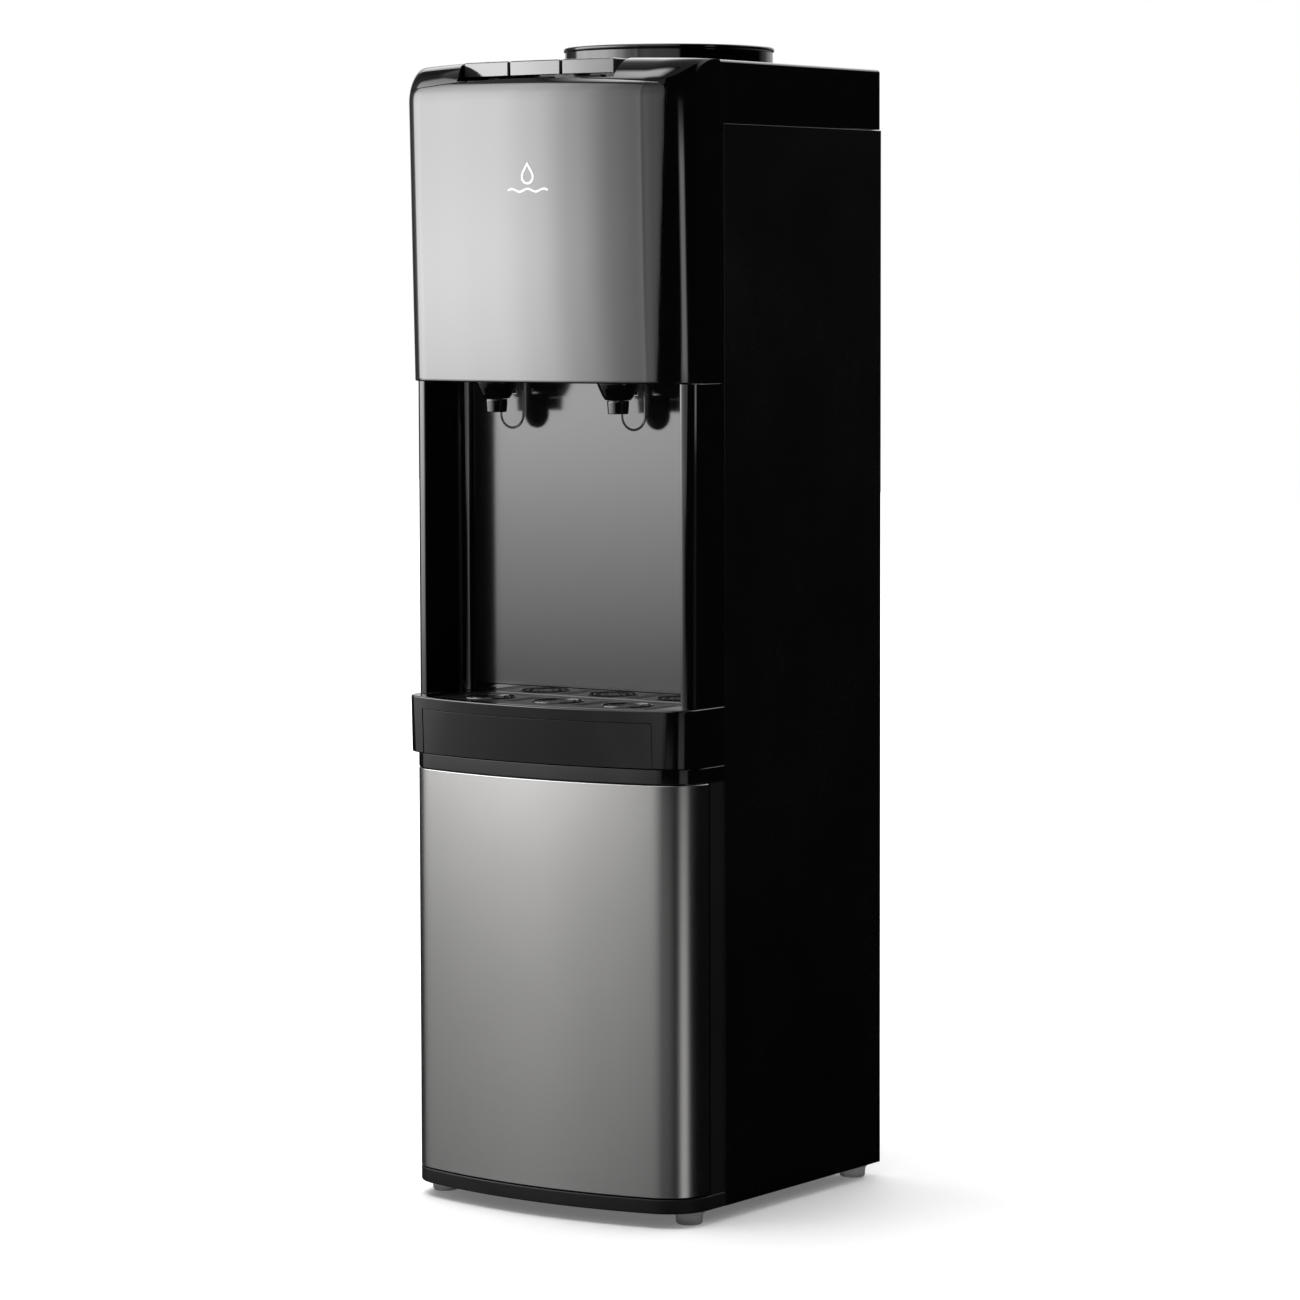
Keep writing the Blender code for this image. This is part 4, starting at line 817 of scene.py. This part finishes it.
def make_mark():
    """A plain droplet over a wave, printed on the head."""
    x0, z0 = 0.0095, 0.9195
    mesh_object("mark_drop",
                on_head(drop_outline((x0, z0), 0.0068, 0.0128), drop_outline((x0, z0), 0.0049, 0.0095)),
                PRINT, "cabinet", weighted=False)
    upper, lower = wave_strip(x0 - 0.0215, x0 + 0.0215, z0 - 0.0118, 0.0012, 0.0018)
    bm = bmesh.new()
    rows = []
    for line in (upper, lower):
        rows.append([bm.verts.new((x, head_y(x, v) - 0.00025, v)) for x, v in line])
        rows.append([bm.verts.new((x, head_y(x, v) + 0.0003, v)) for x, v in line])
    for a in range(len(upper) - 1):
        for first, second in ((0, 2), (1, 3), (0, 1), (2, 3)):
            bm.faces.new((rows[first][a], rows[first][a + 1], rows[second][a + 1], rows[second][a]))
    for a in (0, len(upper) - 1):
        bm.faces.new((rows[0][a], rows[1][a], rows[3][a], rows[2][a]))
    mesh_object("mark_wave_0", bm, PRINT, "cabinet", weighted=False)


def make_keys():
    radius = (KEYS_HALF ** 2 + KEY_BOW ** 2) / (2 * KEY_BOW)
    bodies = ("hot_key", "room_key", "cold_key")
    marks = (MARK_RED, PRINT, MARK_BLUE)
    for name, body, middle, width, mark in zip(("key_hot", "key_room", "key_cold"), bodies, KEY_MIDDLES,
                                               KEY_WIDTHS, marks):
        def ring(inset, _, middle=middle, width=width):
            half = width / 2 - inset
            rear = NOTCH_REAR - 0.0010 - inset
            outline = [(middle + half, rear), (middle - half, rear)]
            for i in range(17):
                x = middle - half + 2 * half * i / 16
                outline.append((x, KEY_FRONT + inset + radius - math.sqrt(radius * radius - x * x)))
            return outline

        stack = soft_stack(ring, KEY_LOW, KEY_HIGH, 0.0014, 5, low_radius=0.0006)
        mesh_object(f"{name}_cap", loft_mesh(stack), KEY, body, name, bevel=0.0007, segments=3,
                    angle=60)
        dot = turned_mesh([(0.0, 0.00025), (0.0018, 0.00025), (0.0020, 0.0), (0.0, 0.0)],
                          (middle, -0.1400, KEY_HIGH), 32)
        mesh_object(f"{name}_dot", dot, mark, body)


def make_top():
    """The cover continues the head's top; only its rear edges are clearly rounded."""
    rear, low, step = REAR - 0.0004, SIDE_HIGH + 0.0007, HEAD_SEAM + 0.0003
    rings = []
    for i in range(9):
        angle = math.pi / 2 * i / 8
        inset, z = 0.0028 * (1 - math.cos(angle)), HEAD_HIGH - 0.0028 * (1 - math.sin(angle))
        rings.append(cover_ring(SKIN_HALF - inset, step, rear - inset, z))
    cover = mesh_object("top_shell", loft_mesh([cover_ring(SKIN_HALF, step, rear, low)] + rings), GLOSS)
    combine(cover, block_mesh((-SKIN_HALF + 0.0025, HEAD_SEAM - 0.02, SIDE_HIGH - 0.02),
                              (SKIN_HALF - 0.0025, REAR - 0.0029, HEAD_HIGH - 0.0045)))
    combine(cover, rod_mesh((0.0, COLLAR_Y, 0.97), (0.0, COLLAR_Y, 1.05), 0.0886, 128))
    divide_across(cover)
    crown(cover)
    finish_cut(cover, "cabinet", "top_cover", bevel=0.0003, segments=2, angle=50)


def cover_ring(half, front, rear, z, corner=0.0040, steps=5):
    """Plan outline with round rear corners."""
    points = [(-half, front), (half, front)]
    for x, start in ((half - corner, 0), (corner - half, 1)):
        for i in range(steps + 1):
            angle = math.pi / 2 * (start + i / steps)
            points.append((x + corner * math.cos(angle), rear - corner + corner * math.sin(angle)))
    return [(x, y, z) for x, y in points]


def divide_across(obj, columns=24):
    """Divide the wide top faces across, so that they can follow the crown."""
    bm = bmesh.new()
    bm.from_mesh(obj.data)
    for i in range(1, columns):
        x = SKIN_HALF * (2 * i / columns - 1)
        bmesh.ops.bisect_plane(bm, geom=bm.verts[:] + bm.edges[:] + bm.faces[:], plane_co=(x, 0.0, 0.0),
                               plane_no=(1.0, 0.0, 0.0))
    bm.to_mesh(obj.data)
    bm.free()


def make_collar():
    seat = HEAD_HIGH + 0.0004
    profile = rounded_profile([(0.0905, COLLAR_HIGH), (0.0945, COLLAR_HIGH), (0.0958, COLLAR_HIGH - 0.0008),
                               (COLLAR_RADIUS, COLLAR_HIGH - 0.0022), (0.0956, COLLAR_HIGH - 0.0036),
                               (0.0947, COLLAR_HIGH - 0.0042), (0.0947, seat), (0.0870, seat),
                               (0.0870, 1.0050), (0.0420, 0.9880), (0.0400, 0.9700), (0.0370, 0.9700),
                               (0.0370, 0.9890), (0.0840, 1.0072), (0.0885, 1.0300)], 0.0012)
    mesh_object("collar_ring", turned_mesh(profile, (0.0, COLLAR_Y, 0.0), 160), GLOSS, "collar",
                "bottle_collar")
    probe = rounded_profile([(0.0, 1.0040), (0.0045, 1.0010), (0.0080, 0.9930), (0.0100, 0.9750),
                             (0.0385, 0.9697), (0.0385, 0.9668), (0.0100, 0.9660), (0.0095, 0.9400),
                             (0.0, 0.9400)], 0.002,
                            closed=False)
    mesh_object("probe_cone", turned_mesh(probe, (0.0, COLLAR_Y, 0.0), 64), WHITE, "collar", "bottle_probe")


# ---------------------------------------------------------------- rear

def coil_route():
    route = [(COIL_X, 0.1400, COIL_LOW), (COIL_X, 0.1500, COIL_LOW), (COIL_X, 0.1570, COIL_LOW),
             (COIL_X - 0.002, 0.1600, COIL_LOW), (COIL_X - 0.006, COIL_Y, COIL_LOW)]
    radius = COIL_PITCH / 2
    for i in range(COIL_PASSES):
        z = COIL_LOW + COIL_PITCH * i
        sign = -1 if i % 2 == 0 else 1
        end = sign * (COIL_X - 0.002)
        if i == COIL_PASSES - 1:
            route.append((end, COIL_Y, z))
            break
        for k in range(17):
            angle = -math.pi / 2 + math.pi * k / 16
            route.append((end + sign * radius * math.cos(angle), COIL_Y,
                          z + radius + radius * math.sin(angle)))
    return route


def make_rear():
    curve = bpy.data.curves.new("coil_tube", "CURVE")
    curve.dimensions = "3D"
    curve.bevel_depth = 0.0028
    curve.bevel_resolution = 4
    curve.use_fill_caps = True
    spline = curve.splines.new("POLY")
    route = coil_route()
    spline.points.add(len(route) - 1)
    for point, place in zip(spline.points, route):
        point.co = (*place, 1.0)
    coil = bpy.data.objects.new("coil_tube", curve)
    bpy.context.scene.collection.objects.link(coil)
    curve.materials.append(WIRE)
    settle(coil, "cabinet", "condenser_coil")
    wires = bmesh.new()
    low, high = COIL_LOW - 0.012, COIL_LOW + COIL_PITCH * (COIL_PASSES - 1) + 0.012
    count = 30
    for i in range(count):
        x = -0.1060 + 0.2120 * i / (count - 1)
        for y in (COIL_Y - 0.0034, COIL_Y + 0.0034):
            rod_mesh((x, y, low), (x, y, high), 0.0007, 8, bm=wires)
    mesh_object("coil_wires", wires, WIRE, "cabinet", weighted=False)
    heads = bmesh.new()
    cap = [(0.0, 0.0022), (0.0016, 0.0021), (0.0030, 0.0014), (0.0034, 0.0004), (0.0034, 0.0), (0.0, 0.0)]
    places = [(sx * 0.1430, z) for sx in (-1, 1) for z in (0.050, 0.270, 0.330, 0.640, 0.940)]
    places += [(0.0, 0.285), (0.0, 0.3120), (0.0, 0.945), (0.0, 0.045)]
    for x, z in places:
        turned_mesh(cap, (x, REAR_SHEET + SHEET, z), 20, "Y", bm=heads)
    mesh_object("rear_screws", heads, SCREW, "cabinet", weighted=False)
    plate = prism_mesh(rounded_rectangle(0.0300, 0.8500, 0.8900, 0.002), REAR_SHEET + SHEET - 0.0002,
                       REAR_SHEET + SHEET + 0.0003, Matrix.Translation((0.085, 0.0, 0.045)) @ UPRIGHT)
    mesh_object("rating_label", plate, LABEL, "cabinet", weighted=False)


def paint_plain_nodes():
    paint_nodes(PAINT, "rear_cover", "vent_cover")
    paint_nodes(MATTE, "compressor", "drain_cap", "cord_bushing", "switch_housing", "cabinet_liner",
                "recess_ceiling", "key_switch_board")
    paint_nodes(COPPER, "discharge_pipe", "evaporator_coil")
    paint_nodes(TANK, "cold_tank", "hot_tank", "heater_band", "hinge_pin_bottom", "hinge_pin_top",
                "key_shaft")
    paint_nodes(FOAM, "tank_insulation")
    paint_nodes(SILICONE, "hot_feed_tube", "hot_outlet_tube", "cold_outlet_tube", "drain_tube")
    paint_nodes(FOOT, "magnet_catch")
    paint_nodes(RED, "switch_hot")
    paint_nodes(GREEN, "switch_cold")


# ---------------------------------------------------------------- studio

def ramp(nodes, links, source, stops):
    """A smooth curve through (position, value) stops, as a colour ramp."""
    made = nodes.new("ShaderNodeValToRGB")
    made.color_ramp.interpolation = "EASE"
    top = max(value for _, value in stops)
    while len(made.color_ramp.elements) > 1:
        made.color_ramp.elements.remove(made.color_ramp.elements[-1])
    for i, (position, value) in enumerate(stops):
        element = made.color_ramp.elements[0] if i == 0 else made.color_ramp.elements.new(position)
        element.position = position
        element.color = (value / top, value / top, value / top, 1.0)
    links.new(source, made.inputs["Fac"])
    return math_node(nodes, links, "MULTIPLY", made.outputs["Color"], top)


def glow_material(name):
    """An emission material without a pattern: itself, its nodes and links, and its strength socket."""
    made = bpy.data.materials.new(name)
    made.use_nodes = True
    nodes, links = made.node_tree.nodes, made.node_tree.links
    nodes.clear()
    glow = nodes.new("ShaderNodeEmission")
    output = nodes.new("ShaderNodeOutputMaterial")
    links.new(glow.outputs[0], output.inputs["Surface"])
    return made, nodes, links, glow.inputs["Strength"]


def only_reflected(obj):
    obj.visible_camera = False
    obj.visible_shadow = False
    obj.visible_diffuse = False


TENT_RADIUS, TENT_LOW, TENT_HIGH, TENT_STEPS = 2.0, -0.6, 2.6, 90
TENT_LEFT, TENT_RIGHT = -120, 110   # the light wall's ends, degrees of azimuth
# The light wall's strength by azimuth in degrees, 0 straight in front and negative to the left
SOFTBOX_AROUND = ((-110, 0.1), (-92, 0.3), (-84, 5.0), (-67, 7.5), (-50, 9.0), (-40, 9.4), (-30, 8.0),
                  (-20, 5.1), (-9.5, 2.3), (-4, 1.6), (0, 1.3), (2, 0.0))
LOW_BOX_AROUND = ((-20, 0.0), (-8, 3.0), (10, 4.5), (16, 3.6), (24, 0.0))
STRIP_AROUND = ((74, 0.0), (80, 3.0), (92, 3.0), (98, 0.0))
# and by height in metres
LOW_BOX_UP = ((-0.6, 0.03), (-0.20, 0.055), (0.10, 0.09), (0.25, 0.12), (0.40, 0.0), (2.6, 0.0))
SOFTBOX_UP = ((-0.6, 0.03), (-0.30, 0.042), (-0.12, 0.057), (0.02, 0.071), (0.15, 0.105), (0.30, 0.18),
              (0.43, 0.40), (0.50, 0.52), (0.61, 0.76), (0.68, 0.92), (0.78, 1.0), (0.96, 0.92), (1.30, 0.85),
              (2.0, 0.60), (2.6, 0.45))
STRIP_UP = ((-0.6, 0.36), (-0.3, 0.32), (0.0, 0.26), (0.2, 0.20), (0.28, 0.03), (0.60, 0.04), (0.68, 1.0),
            (0.92, 1.0), (1.02, 0.0), (2.6, 0.0))
HEAD_BOX_AROUND = ((-6, 0.0), (1, 0.9), (10, 1.25), (24, 1.0), (52, 0.8), (58, 0.0))
HEAD_BOX_UP = ((-0.6, 0.0), (0.50, 0.0), (0.58, 1.0), (1.06, 1.0), (1.30, 0.8), (2.6, 0.4))
DOOR_EDGE_AROUND = ((18, 0.0), (27, 3.0), (38, 2.4), (50, 0.0))
DOOR_EDGE_UP = ((-0.6, 0.03), (-0.20, 0.055), (0.10, 0.09), (0.15, 0.10), (0.19, 0.0), (2.6, 0.0))
LOW_SHIFT = ((-0.6, 1.0), (0.20, 1.0), (0.45, 0.7), (0.75, 0.0), (2.6, 0.0))
# degrees: the soft box's lower part turns right of -INNER_START, in full from INNER_SPAN further on,
# the head box's right edge leans with height, and the strip ends at a fixed azimuth
INNER_START, INNER_SPAN = 75.0, 45.0
SLANT_RISE, SLANT_START, SLANT_STEEPNESS = 68.0, -19.0, 20.0
STRIP_END, STRIP_STEEPNESS = 89.0, 14.0
SOFTBOX_TURN, STRIP_TURN = -9.0, 17.0
ROOF_PLACE, ROOF_SIZE, ROOF_STRENGTH = (0.05, -0.85, 2.55), (2.2, 1.1), 8.0


def make_tent():
    bm = bmesh.new()
    low, high = math.radians(TENT_LEFT), math.radians(TENT_RIGHT)
    rows = []
    for z in (TENT_LOW, TENT_HIGH):
        rows.append([bm.verts.new((TENT_RADIUS * math.sin(low + (high - low) * i / TENT_STEPS),
                                   -TENT_RADIUS * math.cos(low + (high - low) * i / TENT_STEPS), z))
                     for i in range(TENT_STEPS + 1)])
    for i in range(TENT_STEPS):
        bm.faces.new((rows[0][i], rows[0][i + 1], rows[1][i + 1], rows[1][i]))
    tent = mesh_object("light_wall", bm, None)
    made, nodes, links, strength = glow_material("light_wall_glow")

    def calc(operation, *values):
        return math_node(nodes, links, operation, *values)

    def clamped(value, steepness):
        product = calc("MULTIPLY", value, steepness)
        product.node.use_clamp = True
        return product

    place = nodes.new("ShaderNodeNewGeometry")
    split = nodes.new("ShaderNodeSeparateXYZ")
    links.new(place.outputs["Position"], split.inputs[0])
    back = calc("MULTIPLY", split.outputs["Y"], -1.0)
    angle = calc("ARCTAN2", split.outputs["X"], back)
    tall = calc("DIVIDE", calc("SUBTRACT", split.outputs["Z"], TENT_LOW), TENT_HIGH - TENT_LOW)

    def by_height(stops):
        return ramp(nodes, links, tall, [((z - TENT_LOW) / (TENT_HIGH - TENT_LOW), v) for z, v in stops])

    lower = by_height(LOW_SHIFT)
    total = None
    inner = clamped(calc("ADD", angle, math.radians(INNER_START)), 1.0 / math.radians(INNER_SPAN))
    lower_inner = calc("MULTIPLY", lower, inner)
    # the head box's right edge moves outwards with height, and the strip has a fixed outer edge
    lowest = calc("MINIMUM", split.outputs["Z"], 1.0)
    slanted = calc("ADD", calc("MULTIPLY", lowest, math.radians(SLANT_RISE)), math.radians(SLANT_START))
    slanted_edge = clamped(calc("SUBTRACT", slanted, angle), SLANT_STEEPNESS)
    outer_edge = clamped(calc("SUBTRACT", math.radians(STRIP_END), angle), STRIP_STEEPNESS)
    # each layer: strength by azimuth and by height, and how far it turns, where, and its edge
    for around, up, shift, where, edge in ((SOFTBOX_AROUND, SOFTBOX_UP, SOFTBOX_TURN, lower_inner, 1.0),
                                           (LOW_BOX_AROUND, LOW_BOX_UP, 0.0, lower, 1.0),
                                           (DOOR_EDGE_AROUND, DOOR_EDGE_UP, 0.0, lower, 1.0),
                                           (STRIP_AROUND, STRIP_UP, STRIP_TURN, lower, outer_edge),
                                           (HEAD_BOX_AROUND, HEAD_BOX_UP, 0.0, lower, slanted_edge)):
        first, last = math.radians(around[0][0]), math.radians(around[-1][0])
        moved = calc("ADD", angle, calc("MULTIPLY", where, math.radians(shift)))
        share = calc("DIVIDE", calc("SUBTRACT", moved, first), last - first)
        level = ramp(nodes, links, share,
                     [((math.radians(a) - first) / (last - first), v) for a, v in around])
        layer = calc("MULTIPLY", calc("MULTIPLY", level, by_height(up)), edge)
        total = layer if total is None else calc("ADD", total, layer)
    links.new(total, strength)
    tent.data.materials.append(made)
    only_reflected(tent)


def make_roof():
    """A soft light overhead, seen only in reflections: it draws the bright ridge along the head's top."""
    bm = bmesh.new()
    bmesh.ops.create_grid(bm, x_segments=1, y_segments=1, size=0.5,
                          matrix=Matrix.Diagonal((*ROOF_SIZE, 1.0, 1.0)))
    roof = mesh_object("light_roof", bm, None)
    roof.location = ROOF_PLACE
    made, nodes, links, strength = glow_material("light_roof_glow")
    place = nodes.new("ShaderNodeTexCoord")
    split = nodes.new("ShaderNodeSeparateXYZ")
    links.new(place.outputs["Object"], split.inputs[0])
    shares = []
    for axis in ("X", "Y"):
        size = ROOF_SIZE["XY".index(axis)]
        shares.append(ramp(nodes, links,
                           math_node(nodes, links, "MULTIPLY_ADD", split.outputs[axis], 1.0 / size, 0.5),
                           [(0.0, 0.0), (0.35, 1.0), (0.65, 1.0), (1.0, 0.0)]))
    level = math_node(nodes, links, "MULTIPLY", shares[0], shares[1])
    links.new(math_node(nodes, links, "MULTIPLY", level, ROOF_STRENGTH), strength)
    roof.data.materials.append(made)
    only_reflected(roof)


def make_floor():
    bm = bmesh.new()
    bmesh.ops.create_grid(bm, x_segments=1, y_segments=1, size=12.0)
    floor = mesh_object("floor", bm, None)
    floor.location.z = -0.0002
    made = bpy.data.materials.new("floor_white")
    made.use_nodes = True
    shader = made.node_tree.nodes["Principled BSDF"]
    put(shader,
        {"Base Color": (0.90, 0.90, 0.90, 1.0), "Roughness": 0.7, "Emission Color": (1.0, 1.0, 1.0, 1.0)})
    nodes, links = made.node_tree.nodes, made.node_tree.links
    place = nodes.new("ShaderNodeNewGeometry")
    reach = nodes.new("ShaderNodeVectorMath")
    reach.operation = "LENGTH"
    links.new(place.outputs["Position"], reach.inputs[0])
    # painted light: the floor glows, weakly close to the cooler and more strongly further out, so that the
    # far floor turns white while the shade near the base still shows
    far = math_node(nodes, links, "DIVIDE", reach.outputs["Value"], 3.0)
    links.new(ramp(nodes, links, far, [(0.0, 0.14), (0.10, 0.16), (0.30, 0.6), (1.0, 1.2)]),
              shader.inputs["Emission Strength"])
    floor.data.materials.append(made)
    floor.visible_glossy = False


def make_world():
    world = bpy.data.worlds.new("studio")
    bpy.context.scene.world = world
    world.use_nodes = True
    nodes, links = world.node_tree.nodes, world.node_tree.links
    nodes.clear()
    place = nodes.new("ShaderNodeTexCoord")
    split = nodes.new("ShaderNodeSeparateXYZ")
    links.new(place.outputs["Generated"], split.inputs[0])
    rise = ramp(nodes, links, split.outputs["Z"], [(0.0, 0.0), (0.25, 0.0), (0.45, 1.0), (1.0, 1.0)])
    behind = ramp(nodes, links, split.outputs["Y"], [(0.0, 0.35), (0.3, 0.5), (0.8, 3.0)])
    sky = math_node(nodes, links, "MULTIPLY", rise, behind)
    aim = nodes.new("ShaderNodeVectorMath")
    aim.operation = "DOT_PRODUCT"
    links.new(place.outputs["Generated"], aim.inputs[0])
    aim.inputs[1].default_value = (-0.40, 0.92, 0.0)
    behind_low = ramp(nodes, links, aim.outputs["Value"],
                      [(0.0, 0.004), (0.62, 0.006), (0.80, 0.35), (0.93, 1.0)])
    level = ramp(nodes, links, math_node(nodes, links, "ADD", split.outputs["Z"], 0.5),
                 [(0.0, 0.004), (0.42, 0.008), (0.49, 0.25), (0.54, 1.0)])
    horizon = math_node(nodes, links, "MULTIPLY", behind_low, level)
    up = math_node(nodes, links, "ADD", sky, horizon)
    path = nodes.new("ShaderNodeLightPath")
    lit = nodes.new("ShaderNodeBackground")
    links.new(up, lit.inputs["Strength"])
    seen = put(nodes.new("ShaderNodeBackground"), {"Strength": 1.0, "Color": (1.0, 1.0, 1.0, 1.0)})
    mix = nodes.new("ShaderNodeMixShader")
    links.new(path.outputs["Is Camera Ray"], mix.inputs[0])
    links.new(lit.outputs[0], mix.inputs[1])
    links.new(seen.outputs[0], mix.inputs[2])
    output = nodes.new("ShaderNodeOutputWorld")
    links.new(mix.outputs[0], output.inputs["Surface"])


def area_light(name, place, aim, size, power, seen=False):
    data = bpy.data.lights.new(name, "AREA")
    data.shape = "RECTANGLE"
    data.size, data.size_y = size
    data.energy = power
    light = bpy.data.objects.new(name, data)
    light.location = place
    light.rotation_euler = (Vector(aim) - Vector(place)).to_track_quat("-Z", "Y").to_euler()
    bpy.context.scene.collection.objects.link(light)
    light.visible_glossy = seen
    light.visible_camera = False
    return light


CAMERA_PLACE, CAMERA_TURN = (2.4469, -3.4071, 0.8270), (35.49, 4.54,
                                                        -0.16)   # azimuth, pitch, roll in degrees
SENSOR_WIDTH, FOCAL_RATIO = 36.0, (4625.2, 1300.0)   # focal length to frame width


def make_camera():
    azimuth, pitch, roll = (math.radians(angle) for angle in CAMERA_TURN)
    back = Vector((math.sin(azimuth) * math.cos(pitch), -math.cos(azimuth) * math.cos(pitch),
                   math.sin(pitch)))
    right = Vector((math.cos(azimuth), math.sin(azimuth), 0.0))
    up = back.cross(right)
    side = right * math.cos(roll) + up * math.sin(roll)
    top = -right * math.sin(roll) + up * math.cos(roll)
    camera = bpy.data.objects.new("camera", bpy.data.cameras.new("camera"))
    bpy.context.scene.collection.objects.link(camera)
    place = Vector(CAMERA_PLACE)
    camera.matrix_world = Matrix(((side.x, top.x, back.x, place.x), (side.y, top.y, back.y, place.y),
                                  (side.z, top.z, back.z, place.z), (0.0, 0.0, 0.0, 1.0)))
    camera.data.sensor_width = SENSOR_WIDTH
    camera.data.lens = SENSOR_WIDTH * FOCAL_RATIO[0] / FOCAL_RATIO[1]
    camera.data.clip_start, camera.data.clip_end = 0.1, 60.0
    camera.data.dof.use_dof = False
    bpy.context.scene.camera = camera


def make_studio():
    make_tent()
    make_roof()
    make_floor()
    make_world()
    area_light("top_light", (-0.6, -0.3, 2.6), (0.0, 0.0, 0.4), (2.2, 2.2), 68.0)
    bpy.context.scene.view_settings.view_transform = "Standard"
    make_camera()


make_base()
make_feet()
make_side_panels()
make_door()
make_bezel()
make_tray()
make_grille()
make_recess()
for tap_side, tap_sign in (("left", -1), ("right", 1)):
    make_tap(tap_side, tap_sign)
    make_paddle(tap_side, tap_sign)
make_head()
make_mark()
make_keys()
make_top()
make_collar()
make_rear()
paint_plain_nodes()
make_studio()
